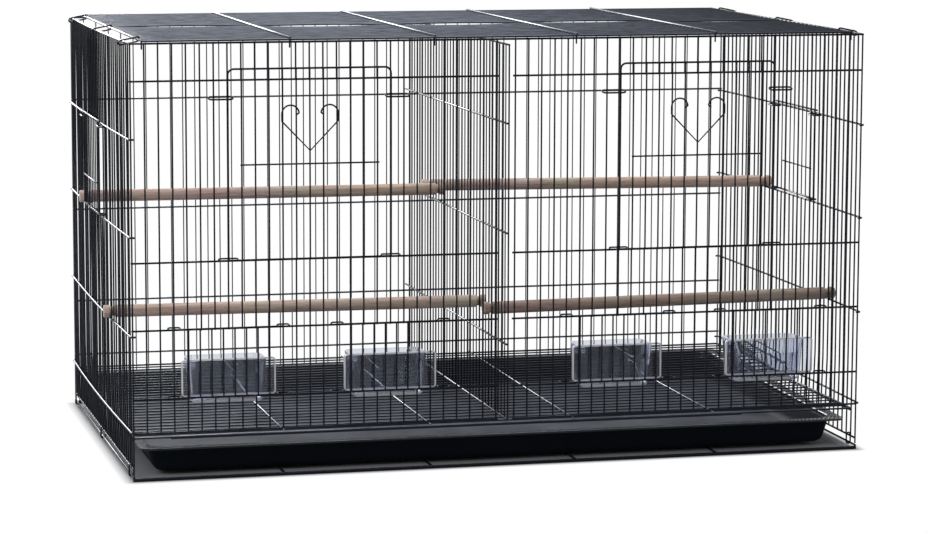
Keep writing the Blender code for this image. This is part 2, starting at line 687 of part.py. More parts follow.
def make_tray(look):
    bottom = FRAME_BAR + GAP
    top = bottom + TRAY_HEIGHT
    half, low, high = HALF_WIDTH - TRAY_SIDE, FRONT + TRAY_FRONT, BACK - TRAY_BACK
    floor_in = TRAY_FLANGE + TRAY_DRAFT
    outer = [
        (floor_in + TRAY_FILLET, bottom), (floor_in, bottom + TRAY_FILLET),
        (TRAY_FLANGE, top - TRAY_WALL), (0, top - TRAY_WALL),
    ]
    inner = [(0, top)] + [(inset + TRAY_WALL, z + TRAY_WALL) for inset, z in outer[2::-1]]
    bm = bmesh.new()
    loops = []
    for inset, z in outer + inner:
        radius = TRAY_CORNER if inset < TRAY_FLANGE else TRAY_WALL_CORNER - (inset - TRAY_FLANGE) / 2
        loops.append(rounded_loop(bm, half - inset, low + inset, high - inset, radius, z))
    count = len(loops[0])
    for one, two in zip(loops, loops[1:]):
        for k in range(count):
            bm.faces.new((one[k - 1], one[k], two[k], two[k - 1]))
    bm.faces.new(loops[0])
    bm.faces.new(loops[-1])
    obj = new_object("tray", bm, look)
    obj.data.shade_smooth()
    obj.data.set_sharp_from_angle(angle=SHARP_ANGLE)
    return obj


def main():
    clear_scene()
    coated = material("black coated wire", COATING_COLOUR, 0.35, metallic=0.2)
    plastic = material("black tray plastic", TRAY_COLOUR, 0.25)
    clear = material("clear cup plastic", CUP_COLOUR, 0.08, alpha=0.35)
    wood = material("perch wood", WOOD_COLOUR, 0.65)
    make_front_panel(coated)
    make_back_panel(coated)
    make_side_panel("left_panel", -1, coated)
    make_side_panel("right_panel", 1, coated)
    make_top_panel(coated)
    make_base_panel(coated)
    make_divider(coated)
    make_clips(coated)
    for side, name in ((-1, "left"), (1, "right")):
        make_large_door(f"{name}_door", side, coated)
        make_door_rings(f"{name}_door_ring", side, coated)
        make_nest_door(f"{name}_nest_door", side, coated)
        make_nest_rings(f"{name}_nest_ring", side, coated)
        for place, step in zip(("outer", "inner"), DOOR_STEPS):
            make_feeder_door(f"{name}_feeder_door_{place}", field_x(side, step), coated)
            make_cup(f"{name}_cup_{place}", field_x(side, step), clear)
    for place in PERCH_PLACES:
        make_perch(*place, wood)
    make_grate(coated)
    make_tray(plastic)


main()
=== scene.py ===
"""The looks of the wire bird cage: round coated wire, clear cups, wooden perches and a moulded tray.

Metres, +Z up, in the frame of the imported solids. The front panel with its doors is at -Y.
"""

import json
import math
import random

import bmesh
import bpy
from mathutils import Matrix, Vector

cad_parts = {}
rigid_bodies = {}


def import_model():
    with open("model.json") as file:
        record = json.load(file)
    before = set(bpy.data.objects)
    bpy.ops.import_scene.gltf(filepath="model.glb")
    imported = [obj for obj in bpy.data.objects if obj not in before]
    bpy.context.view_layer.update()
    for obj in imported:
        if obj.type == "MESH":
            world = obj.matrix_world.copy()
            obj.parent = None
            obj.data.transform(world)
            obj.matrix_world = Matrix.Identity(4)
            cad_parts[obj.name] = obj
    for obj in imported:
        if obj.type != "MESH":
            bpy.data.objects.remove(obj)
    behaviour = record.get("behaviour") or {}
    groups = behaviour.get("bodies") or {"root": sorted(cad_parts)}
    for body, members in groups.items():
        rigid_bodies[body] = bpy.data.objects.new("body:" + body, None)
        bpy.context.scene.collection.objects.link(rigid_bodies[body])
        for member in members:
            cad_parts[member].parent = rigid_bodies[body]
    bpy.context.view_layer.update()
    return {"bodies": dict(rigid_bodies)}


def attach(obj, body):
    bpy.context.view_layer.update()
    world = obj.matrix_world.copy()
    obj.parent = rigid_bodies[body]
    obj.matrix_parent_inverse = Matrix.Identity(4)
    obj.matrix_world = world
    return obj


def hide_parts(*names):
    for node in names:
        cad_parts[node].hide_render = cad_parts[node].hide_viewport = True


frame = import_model()

# Cage, between the middles of the wires of opposite panels
CAGE_WIDTH = 0.762
CAGE_DEPTH = 0.457
TOP_RAIL_Z = 0.436
WIRE = 0.0017
THIN_WIRE = 0.0013
RAIL = 0.0021
FRAME_BAR = 0.0035
GAP = 0.0003
WIRE_SIDES = 12
WIRE_STATIONS = 6
END_ROUND = 0.00045
BEND_PLAY = 0.0001

HALF_WIDTH, HALF_DEPTH = CAGE_WIDTH / 2, CAGE_DEPTH / 2
FRONT, BACK = -HALF_DEPTH, HALF_DEPTH
LAYER = WIRE / 2 + GAP + RAIL / 2
SUNK = 0.0017

DEPTH_STEPS = 35
DEPTH_PITCH = CAGE_DEPTH / DEPTH_STEPS
FIELD_STEPS = 27
DIVIDER_SLOT = 0.019
FIELD_PITCH = (CAGE_WIDTH - DIVIDER_SLOT) / 2 / FIELD_STEPS
FRONT_RAILS_Z = (0.0484, 0.0824, 0.1513, 0.2190, 0.3989)
TRAY_RAIL, CUP_RAIL, FEEDER_RAIL, DOOR_RAIL, LINTEL_RAIL = FRONT_RAILS_Z
DOOR_STEPS = (7, 19)
FEEDER_REACH = 3
FEEDER_LOOP_REACH = 4
BACK_STEPS = 55
BACK_RAILS_Z = (0.0565, 0.1175, 0.2212, 0.3446)
SIDE_BOTTOM_Z = 0.0120
SIDE_RAILS_Z = (0.0495, 0.1460, 0.2450, 0.3420)
NEST_SILL_RAIL, NEST_TOP_RAIL = SIDE_RAILS_Z[2:]
NEST_STEPS = (12, 21)
HOOK = 0.0045
HOOK_BEND = 0.0018
BOW = 0.0026
STRAY = 0.0007
GUIDE_TOP_Z = 0.0412
TOP_INSET = 0.012
CROSS_WIRES = 5
TOP_HOOK = 0.0060

# Bays of the top panel: the step at which its wires part, and how far they bow there
TOP_GAPS = ((17, 0.0008), (16, 0.0012), (16, 0.0013), (17, 0.0010), (15, 0.0006))
TOP_EASE = 0.80

CLIP_OVERHANG = 0.0040
TOP_CLIP_STEPS = (2, 17, 32)
BASE_CLIP_STEPS = (1, 17, 33)
BASE_END_BOTTOM_Z = FRAME_BAR + GAP
POST_FOOT_Z = BASE_END_BOTTOM_Z + RAIL + GAP

DIVIDER_X = 0.0030
DIVIDER_TOP_Z = 0.4300
DIVIDER_RAILS_Z = (0.1250, 0.2390, 0.3506)

DOOR_TOP_Z = 0.4100
DOOR_CORNER = 0.0060
DOOR_SHORT_BAR_Z = 0.3150
DOOR_LOOP = 0.0210
DOOR_RING_Z = 0.3815
DOOR_RING_LENGTH = 0.0260
RING_SLOPE = 0.36
LOOP_SLOPE = 0.0016
HEART_HALF_WIDTH = 0.0285
HEART_TOP_Z = 0.3735
HEART_LOBE_Z = 0.3575
HEART_TIP_Z = 0.3280
HEART_CURL = 0.0110
HEART_HOOK = 0.0032
HEART_HOOK_BEND = 0.0010
HEART_TURN = 155
HEART_ARC_STEPS = 12

FEEDER_WIRES = 8
FEEDER_HALF_WIDTH = 0.0408
FEEDER_LOOP = 0.0138
NEST_SHORT_BAR_Z = 0.2790
NEST_RING_LENGTH = 0.0240
NEST_LOOP = 0.0150
NEST_LOOP_BEND = 0.0025
NEST_RING_BEND = 0.0045

CUP_TOP_Z = 0.1190
CUP_PLATE_WIDTH = 0.0950
CUP_WIDTH = 0.0790
CUP_DEPTH = 0.0420
CUP_BOTTOM_Z = 0.0750
CUP_WALL = 0.0018
CUP_DRAFT = 0.0025
CUP_CORNER = 0.0075
CUP_BEND_STEPS = ((0.0004, 0.0014), (0.0008, 0.0012), (0.0012, 0.0007), (0.0014, 0.0003))
CUP_PLATE_CORNER = 0.003
CUP_EDGE = 0.0013
CUP_EDGE_GLOW = 0.0040

PERCH_DIAMETER = 0.0130
PERCH_GROOVE = 0.0098
PERCH_KNOB = 0.0060
PERCH_SLACK = 0.0010
PERCH_EASE = 0.0008
PERCHES = (
    ("left_perch_upper", -1, 24, 23, NEST_SILL_RAIL),
    ("left_perch_lower", -1, 10, 9, SIDE_RAILS_Z[1]),
    ("right_perch_upper", 1, 23, 26, NEST_SILL_RAIL),
    ("right_perch_lower", 1, 7, 5, SIDE_RAILS_Z[1]),
)

GRATE_STEPS = 27
GRATE_FRONT = 0.0070
GRATE_BACK = 0.0080
GRATE_BAR_SHARES = (0.047, 0.839)
GRATE_BAR_BITE = 0.0006

TRAY_BOTTOM_Z = FRAME_BAR + GAP
TRAY_HEIGHT = 0.0274
TRAY_SIDE = 0.0080
TRAY_FRONT = 0.0080
TRAY_BACK = 0.0100
TRAY_FLANGE = 0.0085
TRAY_WALL = 0.0018
TRAY_DRAFT = 0.0100
TRAY_CORNER = 0.0100
TRAY_WALL_CORNER = 0.0180
TRAY_RISE = 0.0060
TRAY_LIP_STEPS = ((0.0003, 0.0001), (0.0005, 0.0005), (0.0004, 0.0009))
TRAY_BEND_STEPS = ((0.0010, 0.0026), (0.0016, 0.0022), (0.0020, 0.0016), (0.0024, 0.0009), (0.0022, 0.0002))
TRAY_GLOSS_DEPTH = 0.003

SIDES = (("left", -1), ("right", 1))
X, Y = Vector((1, 0, 0)), Vector((0, 1, 0))

# Place and direction of the camera
CAMERA_PLACE = (-0.8281, -3.3588, 0.6429)
CAMERA_YAW, CAMERA_PITCH, CAMERA_ROLL = 14.064, 7.702, 0.170
LENS, SENSOR = 125.0, 36.0


# Wire and weld shapes


def rod(bm, start, end, thickness=WIRE):
    """A straight length of round wire."""
    start, end = Vector(start), Vector(end)
    turn = (end - start).to_track_quat("Z", "Y").to_matrix().to_4x4()
    place = Matrix.Translation((start + end) / 2) @ turn
    bmesh.ops.create_cone(
        bm, cap_ends=True, segments=WIRE_SIDES, radius1=thickness / 2, radius2=thickness / 2,
        depth=(end - start).length, matrix=place,
    )


def bead(bm, place, size=WIRE * 0.66):
    """The small lump that a weld leaves where two wires cross."""
    bmesh.ops.create_icosphere(bm, subdivisions=1, radius=size, matrix=Matrix.Translation(place))


def rounded(points, radius, steps=5, closed=False):
    """The line through the points, with each corner bent to the radius."""
    points = [Vector(point) for point in points]
    path = []
    for i, corner in enumerate(points):
        if not closed and i in (0, len(points) - 1):
            path.append(corner)
            continue
        before = (corner - points[i - 1]).normalized()
        after = (points[(i + 1) % len(points)] - corner).normalized()
        turn = before.angle(after)
        if turn < 0.01:
            path.append(corner)
            continue
        start = corner - before * radius * math.tan(turn / 2)
        across = (after - before * math.cos(turn)).normalized()
        for k in range(steps + 1):
            angle = turn * k / steps
            path.append(start + radius * (before * math.sin(angle) + across * (1 - math.cos(angle))))
    return path


def bent(bm, points, thickness=WIRE, closed=False):
    """Bent wire: a ring is extruded from point to point and turned with the line."""
    points = [Vector(point) for point in points]
    count = len(points)
    ways = []
    for i in range(count):
        before = points[i] - points[i - 1] if closed or i else points[1] - points[0]
        after = points[(i + 1) % count] - points[i] if closed or i < count - 1 else before
        ways.append((before.normalized() + after.normalized()).normalized())
    place = Matrix.Translation(points[0]) @ ways[0].to_track_quat("Z", "Y").to_matrix().to_4x4()
    ring = bmesh.ops.create_circle(bm, segments=WIRE_SIDES, radius=thickness / 2, matrix=place)["verts"]
    first = edges = list({edge for vert in ring for edge in vert.link_edges})
    for i in range(1, count):
        made = bmesh.ops.extrude_edge_only(bm, edges=edges)["geom"]
        verts = [part for part in made if isinstance(part, bmesh.types.BMVert)]
        fresh = set(verts)
        edges = [part for part in made if isinstance(part, bmesh.types.BMEdge) and set(part.verts) <= fresh]
        turn = ways[i - 1].rotation_difference(ways[i]).to_matrix()
        bmesh.ops.rotate(bm, cent=points[i - 1], matrix=turn, verts=verts)
        bmesh.ops.translate(bm, vec=points[i] - points[i - 1], verts=verts)
    if closed:
        bmesh.ops.bridge_loops(bm, edges=edges + first)
    else:
        bmesh.ops.edgeloop_fill(bm, edges=first)
        bmesh.ops.edgeloop_fill(bm, edges=edges)


def round_ends(bm):
    """Takes the sharp edge off every cut end of wire."""
    rims = [edge for edge in bm.edges if edge.is_manifold and edge.calc_face_angle() > 1.2 and len(
        edge.link_faces[0].verts) + len(edge.link_faces[1].verts) == WIRE_SIDES + 4]
    bmesh.ops.bevel(bm, geom=rims, offset=END_ROUND, affect="EDGES", segments=2, profile=0.5, material=-1)


def finished(node, bm, look, sharp=50):
    """Makes the piece that stands for a node and moves with the node's body."""
    bmesh.ops.recalc_face_normals(bm, faces=bm.faces)
    mesh = bpy.data.meshes.new(f"{node}_finished")
    bm.to_mesh(mesh)
    bm.free()
    mesh.materials.append(look)
    mesh.shade_smooth()
    mesh.set_sharp_from_angle(angle=math.radians(sharp))
    piece = bpy.data.objects.new(f"{node}_finished", mesh)
    bpy.context.scene.collection.objects.link(piece)
    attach(piece, node if node in frame["bodies"] else "cage")
    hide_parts(node)
    return piece


def bow(bm, side):
    """Bows a side panel outwards between its corner posts, as the used cage is."""
    for vert in bm.verts:
        along = max(0, math.cos(math.pi * vert.co.y / CAGE_DEPTH))
        rise = min(1, max(0, (vert.co.z - SIDE_BOTTOM_Z) / (SIDE_RAILS_Z[0] - SIDE_BOTTOM_Z)))
        vert.co.x += side * BOW * along * rise


def wirework(node, bm):
    round_ends(bm)
    # The back panel's paler coat is painted flare; the top panel's coat carries painted sheen, and the
    # grate's carries painted glints.
    look = {"back_panel": flare_paled_coat, "top_panel": sheen_painted_coat, "grate": glint_painted_coat}.get(node, coat)
    return finished(node, bm, look)


# Materials


def node_group(name, inputs, outputs):
    group = bpy.data.node_groups.new(name, "ShaderNodeTree")
    for label, kind, value in inputs:
        socket = group.interface.new_socket(label, in_out="INPUT", socket_type=f"NodeSocket{kind}")
        socket.default_value = value
    for label, kind in outputs:
        group.interface.new_socket(label, in_out="OUTPUT", socket_type=f"NodeSocket{kind}")
    return group, group.nodes.new("NodeGroupInput"), group.nodes.new("NodeGroupOutput")


def add(tree, kind, **values):
    """A node with its settings, and its inputs by name."""
    node = tree.nodes.new(f"ShaderNode{kind}")
    for name, value in values.items():
        if name.startswith("in_"):
            node.inputs[int(name[3:])].default_value = value
        else:
            setattr(node, name, value)
    return node


def surface_group():
    """Fine relief, uneven gloss, and a pale colour on faces turned upwards: faint dust on the coats, and
    painted sheen and glints where the tray, the top panel and the grate raise it.
    """
    group, start, end = node_group(
        "moulded or coated surface",
        [("Grain Scale", "Float", 900.0), ("Patch Scale", "Float", 40.0), ("Roughness", "Float", 0.3),
         ("Unevenness", "Float", 0.1), ("Dust", "Float", 0.0), ("Colour", "Color", (0, 0, 0, 1)),
         ("Dust Colour", "Color", (0.5, 0.5, 0.5, 1))],
        [("Colour", "Color"), ("Roughness", "Float"), ("Height", "Float")],
    )
    link = group.links.new
    place = add(group, "TexCoord")
    grain = add(group, "TexNoise")
    grain.inputs["Detail"].default_value = 3.0
    patch = add(group, "TexNoise")
    patch.inputs["Detail"].default_value = 4.0
    link(place.outputs["Object"], grain.inputs["Vector"])
    link(place.outputs["Object"], patch.inputs["Vector"])
    link(start.outputs["Grain Scale"], grain.inputs["Scale"])
    link(start.outputs["Patch Scale"], patch.inputs["Scale"])
    centred = add(group, "Math", operation="SUBTRACT", in_1=0.5)
    link(patch.outputs["Fac"], centred.inputs[0])
    uneven = add(group, "Math", operation="MULTIPLY_ADD")
    link(centred.outputs[0], uneven.inputs[0])
    link(start.outputs["Unevenness"], uneven.inputs[1])
    link(start.outputs["Roughness"], uneven.inputs[2])
    link(uneven.outputs[0], end.inputs["Roughness"])
    link(grain.outputs["Fac"], end.inputs["Height"])
    # Faces turned upwards take the Dust Colour: dust where the amount is small, painted sheen where it is
    # raised.
    upward = add(group, "NewGeometry")
    split = add(group, "SeparateXYZ")
    link(upward.outputs["Normal"], split.inputs[0])
    lies = add(group, "MapRange", in_1=0.3, in_2=1.0)
    link(split.outputs["Z"], lies.inputs[0])
    upturned_patches = add(group, "Math", operation="MULTIPLY")
    link(lies.outputs[0], upturned_patches.inputs[0])
    link(patch.outputs["Fac"], upturned_patches.inputs[1])
    amount = add(group, "Math", operation="MULTIPLY")
    link(upturned_patches.outputs[0], amount.inputs[0])
    link(start.outputs["Dust"], amount.inputs[1])
    mix = add(group, "Mix", data_type="RGBA")
    link(amount.outputs[0], mix.inputs[0])
    link(start.outputs["Colour"], mix.inputs[6])
    link(start.outputs["Dust Colour"], mix.inputs[7])
    link(mix.outputs[2], end.inputs["Colour"])
    return group


def sheen_falloff_group():
    """Painted sheen that fades along a direction, from one side of a piece to the other; its output sets
    the Dust input of the surface group.
    """
    group, start, end = node_group(
        "painted sheen falloff",
        [("Direction", "Vector", X), ("From", "Float", 0.0), ("To", "Float", 1.0),
         ("Sheen From", "Float", 0.5), ("Sheen To", "Float", 0.5)],
        [("Dust", "Float")],
    )
    place = add(group, "TexCoord")
    along = add(group, "VectorMath", operation="DOT_PRODUCT")
    spread = add(group, "MapRange")
    link = group.links.new
    link(place.outputs["Object"], along.inputs[0])
    link(start.outputs["Direction"], along.inputs[1])
    link(along.outputs["Value"], spread.inputs[0])
    for socket, label in enumerate(("From", "To", "Sheen From", "Sheen To"), 1):
        link(start.outputs[label], spread.inputs[socket])
    link(spread.outputs[0], end.inputs["Dust"])
    return group


def new_material(name):
    made = bpy.data.materials.new(name)
    made.use_nodes = True
    tree = made.node_tree
    return made, tree, tree.nodes["Principled BSDF"]


def surface_material(name, group, colour, roughness, bump, depth, **values):
    """A plain finish whose relief and gloss come from the surface group."""
    made, tree, shader = new_material(name)
    effect = add(tree, "Group", node_tree=group, name="surface")
    effect.inputs["Colour"].default_value = (*colour, 1)
    effect.inputs["Roughness"].default_value = roughness
    for label, value in values.items():
        effect.inputs[label.replace("_", " ").title()].default_value = value
    relief = add(tree, "Bump")
    relief.inputs["Strength"].default_value = bump
    relief.inputs["Distance"].default_value = depth
    tree.links.new(effect.outputs["Colour"], shader.inputs["Base Color"])
    tree.links.new(effect.outputs["Roughness"], shader.inputs["Roughness"])
    tree.links.new(effect.outputs["Height"], relief.inputs["Height"])
    tree.links.new(relief.outputs["Normal"], shader.inputs["Normal"])
    return made, tree, shader


def coat_material(name, group, colour, gloss):
    """Glossy black powder coat with its orange-peel relief."""
    made, _, shader = surface_material(
        name, group, colour, 0.22, 0.05, 0.0001,
        grain_scale=1400.0, patch_scale=60.0, unevenness=0.16, dust=0.01, dust_colour=(0.40, 0.44, 0.56, 1),
    )
    shader.inputs["Specular IOR Level"].default_value = gloss
    shader.inputs["Specular Tint"].default_value = (0.76, 0.84, 1.0, 1)
    return made


def with_sheen_falloff(made, group, direction, places, amounts):
    """Lets the painted sheen on a coat fade between two places along a direction."""
    tree = made.node_tree
    effect = add(tree, "Group", node_tree=group)
    effect.inputs["Direction"].default_value = direction
    effect.inputs["From"].default_value, effect.inputs["To"].default_value = places
    effect.inputs["Sheen From"].default_value, effect.inputs["Sheen To"].default_value = amounts
    tree.links.new(effect.outputs["Dust"], tree.nodes["surface"].inputs["Dust"])
    return made


def tray_material(group):
    """Black polystyrene, glossy on the flange and dull where litter and water have worn it, with a bluish
    painted sheen on its faces turned upwards.
    """
    # The dust input here lightens the flange and the floor of the tray: painted sheen.
    made, tree, shader = surface_material(
        "black tray plastic", group, (0.009, 0.012, 0.017), 0.12, 0.03, 0.0001,
        grain_scale=900.0, patch_scale=14.0, unevenness=0.10, dust=0.42, dust_colour=(0.40, 0.43, 0.50, 1),
    )
    place = add(tree, "TexCoord")
    height = add(tree, "SeparateXYZ")
    rim = TRAY_BOTTOM_Z + TRAY_HEIGHT - TRAY_WALL
    gloss = add(tree, "MapRange", in_1=rim - TRAY_GLOSS_DEPTH, in_2=rim, in_3=0.04, in_4=0.50)
    dull = add(tree, "MapRange", in_1=rim - TRAY_GLOSS_DEPTH, in_2=rim, in_3=0.45, in_4=0.0)
    rough = add(tree, "Math", operation="ADD")
    link = tree.links.new
    link(place.outputs["Object"], height.inputs[0])
    link(height.outputs["Z"], gloss.inputs[0])
    link(height.outputs["Z"], dull.inputs[0])
    link(gloss.outputs[0], shader.inputs["Specular IOR Level"])
    link(shader.inputs["Roughness"].links[0].from_socket, rough.inputs[0])
    link(dull.outputs[0], rough.inputs[1])
    link(rough.outputs[0], shader.inputs["Roughness"])
    return made


def cup_material():
    """Clear moulded plastic whose round corners look violet."""
    made, tree, shader = new_material("clear cup plastic")
    shader.inputs["Transmission Weight"].default_value = 1.0
    shader.inputs["IOR"].default_value = 1.49
    place = add(tree, "TexCoord")
    ripple = add(tree, "TexNoise")
    ripple.inputs["Scale"].default_value = 55.0
    ripple.inputs["Detail"].default_value = 2.0
    gloss = add(tree, "MapRange", in_1=0.3, in_2=0.7, in_3=0.0, in_4=0.008)
    relief = add(tree, "Bump")
    relief.inputs["Strength"].default_value = 0.05
    relief.inputs["Distance"].default_value = 0.0003
    rim = add(tree, "LayerWeight")
    turned = add(tree, "MapRange", in_1=0.30, in_2=0.85)
    tint = add(tree, "Mix", data_type="RGBA")
    tint.inputs[6].default_value = (0.70, 0.73, 0.80, 1)
    tint.inputs[7].default_value = (0.56, 0.53, 0.90, 1)
    tree.links.new(rim.outputs["Facing"], turned.inputs[0])
    tree.links.new(turned.outputs[0], tint.inputs[0])
    tree.links.new(tint.outputs[2], shader.inputs["Base Color"])
    tree.links.new(place.outputs["Object"], ripple.inputs["Vector"])
    tree.links.new(ripple.outputs["Fac"], gloss.inputs[0])
    tree.links.new(gloss.outputs[0], shader.inputs["Roughness"])
    tree.links.new(ripple.outputs["Fac"], relief.inputs["Height"])
    tree.links.new(relief.outputs["Normal"], shader.inputs["Normal"])
    return made


def cup_edge_glow_material(group):
    """The same plastic at its thick edges, made near-white and nearly opaque: a painted glow of the light
    that the edges catch.
    """
    made, _, shader = surface_material(
        "cup plastic edge with painted glow", group, (0.97, 0.95, 1.0), 0.22, 0.1, 0.0001,
        grain_scale=500.0, patch_scale=160.0, unevenness=0.12, dust=0.0,
    )
    shader.inputs["Transmission Weight"].default_value = 0.15
    return made


def wood_material(name, tone):
    """Bare beech dowel: long streaks, short pores and slightly darker patches."""
    made, tree, shader = new_material(name)
    link = tree.links.new
    place = add(tree, "TexCoord")
    along = add(tree, "Mapping")
    along.inputs["Scale"].default_value = (9, 330, 330)
    streak = add(tree, "TexNoise")
    streak.inputs["Scale"].default_value = 1.0
    streak.inputs["Detail"].default_value = 6.0
    streak.inputs["Roughness"].default_value = 0.65
    pores_place = add(tree, "Mapping")
    pores_place.inputs["Scale"].default_value = (120, 1500, 1500)
    pores = add(tree, "TexNoise")
    pores.inputs["Scale"].default_value = 1.0
    pores.inputs["Detail"].default_value = 2.0
    patch = add(tree, "TexNoise")
    patch.inputs["Scale"].default_value = 9.0
    ramp = add(tree, "ValToRGB")
    ramp.color_ramp.elements[0].position = 0.3
    ramp.color_ramp.elements[0].color = (0.460 * tone, 0.310 * tone, 0.250 * tone, 1)
    ramp.color_ramp.elements[1].position = 0.7
    ramp.color_ramp.elements[1].color = (0.860 * tone, 0.680 * tone, 0.590 * tone, 1)
    middle = ramp.color_ramp.elements.new(0.5)
    middle.color = (0.720 * tone, 0.540 * tone, 0.450 * tone, 1)
    dark = add(tree, "Mix", data_type="RGBA", blend_type="MULTIPLY")
    dark.inputs[7].default_value = (0.62, 0.55, 0.50, 1)
    pore_mask = add(tree, "MapRange", in_1=0.60, in_2=0.72)
    shade = add(tree, "Mix", data_type="RGBA", blend_type="MULTIPLY")
    shade.inputs[0].default_value = 0.35
    relief = add(tree, "Bump")
    relief.inputs["Strength"].default_value = 0.35
    relief.inputs["Distance"].default_value = 0.0003
    link(place.outputs["Object"], along.inputs["Vector"])
    link(place.outputs["Object"], pores_place.inputs["Vector"])
    link(place.outputs["Object"], patch.inputs["Vector"])
    link(along.outputs[0], streak.inputs["Vector"])
    link(pores_place.outputs[0], pores.inputs["Vector"])
    link(streak.outputs["Fac"], ramp.inputs[0])
    link(pores.outputs["Fac"], pore_mask.inputs[0])
    link(pore_mask.outputs[0], dark.inputs[0])
    link(ramp.outputs[0], dark.inputs[6])
    link(dark.outputs[2], shade.inputs[6])
    link(patch.outputs["Color"], shade.inputs[7])
    link(shade.outputs[2], shader.inputs["Base Color"])
    link(streak.outputs["Fac"], relief.inputs["Height"])
    link(relief.outputs["Normal"], shader.inputs["Normal"])
    shader.inputs["Roughness"].default_value = 0.6
    return made


# Panels


def field_x(side, step):
    """Place of a front wire, counted from the outer corner of its field."""
    return side * (HALF_WIDTH - step * FIELD_PITCH)


def depth_at(step):
    return FRONT + step * DEPTH_PITCH


def upright_spans(step):
    """The lengths of one front wire, which the door and feeder openings interrupt."""
    stops = [TRAY_RAIL if step else POST_FOOT_Z]
    if any(abs(step - middle) < FEEDER_REACH for middle in DOOR_STEPS):
        stops += [CUP_RAIL + RAIL / 2, FEEDER_RAIL - RAIL / 2]
    if DOOR_STEPS[0] < step < DOOR_STEPS[1]:
        stops += [DOOR_RAIL + RAIL / 2, LINTEL_RAIL - RAIL / 2]
    stops.append(TOP_RAIL_Z)
    return list(zip(stops[0::2], stops[1::2]))


def front_panel():
    bm = bmesh.new()
    for _, side in SIDES:
        for step in range(FIELD_STEPS + 1):
            x = field_x(side, step)
            for low, high in upright_spans(step):
                rod(bm, (x, FRONT, low), (x, FRONT, high))
            for z in FRONT_RAILS_Z[1:]:
                bead(bm, (x, FRONT + WIRE / 2, z))
            bead(bm, (x, FRONT, TRAY_RAIL + RAIL / 3))
            bead(bm, (x, FRONT, TOP_RAIL_Z - RAIL / 3))
        edge, inner = field_x(side, 0), field_x(side, FIELD_STEPS)
        rod(bm, (edge, FRONT, TRAY_RAIL), (inner - side * RAIL, FRONT, TRAY_RAIL), RAIL)
        for z in FRONT_RAILS_Z[1:]:
            rod(bm, (edge + side * RAIL / 2, FRONT + SUNK, z), (inner - side * RAIL, FRONT + SUNK, z), RAIL)
    overhang = HALF_WIDTH + RAIL / 2
    rod(bm, (-overhang, FRONT, TOP_RAIL_Z), (overhang, FRONT, TOP_RAIL_Z), RAIL)
    return wirework("front_panel", bm)


def back_panel():
    bm = bmesh.new()
    overhang = HALF_WIDTH + RAIL / 2
    for step in range(BACK_STEPS + 1):
        x = -HALF_WIDTH + step * CAGE_WIDTH / BACK_STEPS
        foot = POST_FOOT_Z if step in (0, BACK_STEPS) else SIDE_BOTTOM_Z
        rod(bm, (x, BACK, foot), (x, BACK, TOP_RAIL_Z), WIRE if foot == POST_FOOT_Z else THIN_WIRE)
        for z in BACK_RAILS_Z:
            bead(bm, (x, BACK - WIRE / 2, z))
    for z in (SIDE_BOTTOM_Z, TOP_RAIL_Z):
        rod(bm, (-overhang, BACK, z), (overhang, BACK, z), RAIL)
    for z in BACK_RAILS_Z:
        rod(bm, (-overhang, BACK - SUNK, z), (overhang, BACK - SUNK, z), RAIL)
    return wirework("back_panel", bm)


def side_panel(node, side):
    """Rails outside, hooked round the corner posts, and the rail inside that carries the grate."""
    bm = bmesh.new()
    x = side * HALF_WIDTH
    rail_x = x + side * (WIRE + RAIL) / 2
    chance = random.Random(5 + side)
    for step in range(1, DEPTH_STEPS):
        y = side * depth_at(step)
        spans = [(SIDE_BOTTOM_Z, TOP_RAIL_Z)]
        if NEST_STEPS[0] < step < NEST_STEPS[1]:
            spans = [(SIDE_BOTTOM_Z, NEST_SILL_RAIL + RAIL / 2), (NEST_TOP_RAIL - RAIL / 2, TOP_RAIL_Z)]
        stray_x, stray_y = chance.uniform(-STRAY, STRAY), chance.uniform(-STRAY, STRAY)
        for low, high in spans:
            points = []
            for k in range(WIRE_STATIONS + 1):
                share = k / WIRE_STATIONS
                sway = math.sin(math.pi * share) * (1 if high - low > CAGE_DEPTH / 3 else 0)
                points.append((x + stray_x * sway, y + stray_y * sway, low + (high - low) * share))
            bent(bm, points)
        for z in SIDE_RAILS_Z:
            bead(bm, (x + side * WIRE / 2, y, z), RAIL * 0.38)
        bead(bm, (x - side * WIRE / 2, y, GUIDE_TOP_Z - RAIL / 2))
    end = HALF_DEPTH - RAIL / 2 - GAP
    for z in (SIDE_BOTTOM_Z, TOP_RAIL_Z):
        bent(bm, [(x, end * k / 6, z) for k in range(-6, 7)], RAIL)
    hook_x, hook_y = rail_x - side * HOOK, HALF_DEPTH + WIRE / 2 + GAP + RAIL / 2
    for z in SIDE_RAILS_Z:
        corners = [(hook_x, -hook_y, z), (rail_x, -hook_y, z)]
        corners += [(rail_x, y * HALF_DEPTH / 6, z) for y in range(-5, 6)]
        corners += [(rail_x, hook_y, z), (hook_x, hook_y, z)]
        bent(bm, rounded(corners, HOOK_BEND), RAIL)
    bow(bm, side)
    guide = (x - side * SUNK, GUIDE_TOP_Z - RAIL / 2)
    first, last = depth_at(1), depth_at(DEPTH_STEPS - 1)
    rod(bm, (guide[0], first - RAIL, guide[1]), (guide[0], last + RAIL, guide[1]), RAIL)
    return wirework(node, bm)


def cross_places(half):
    return [half * (2 * i / CROSS_WIRES - 1) for i in range(CROSS_WIRES + 1)]


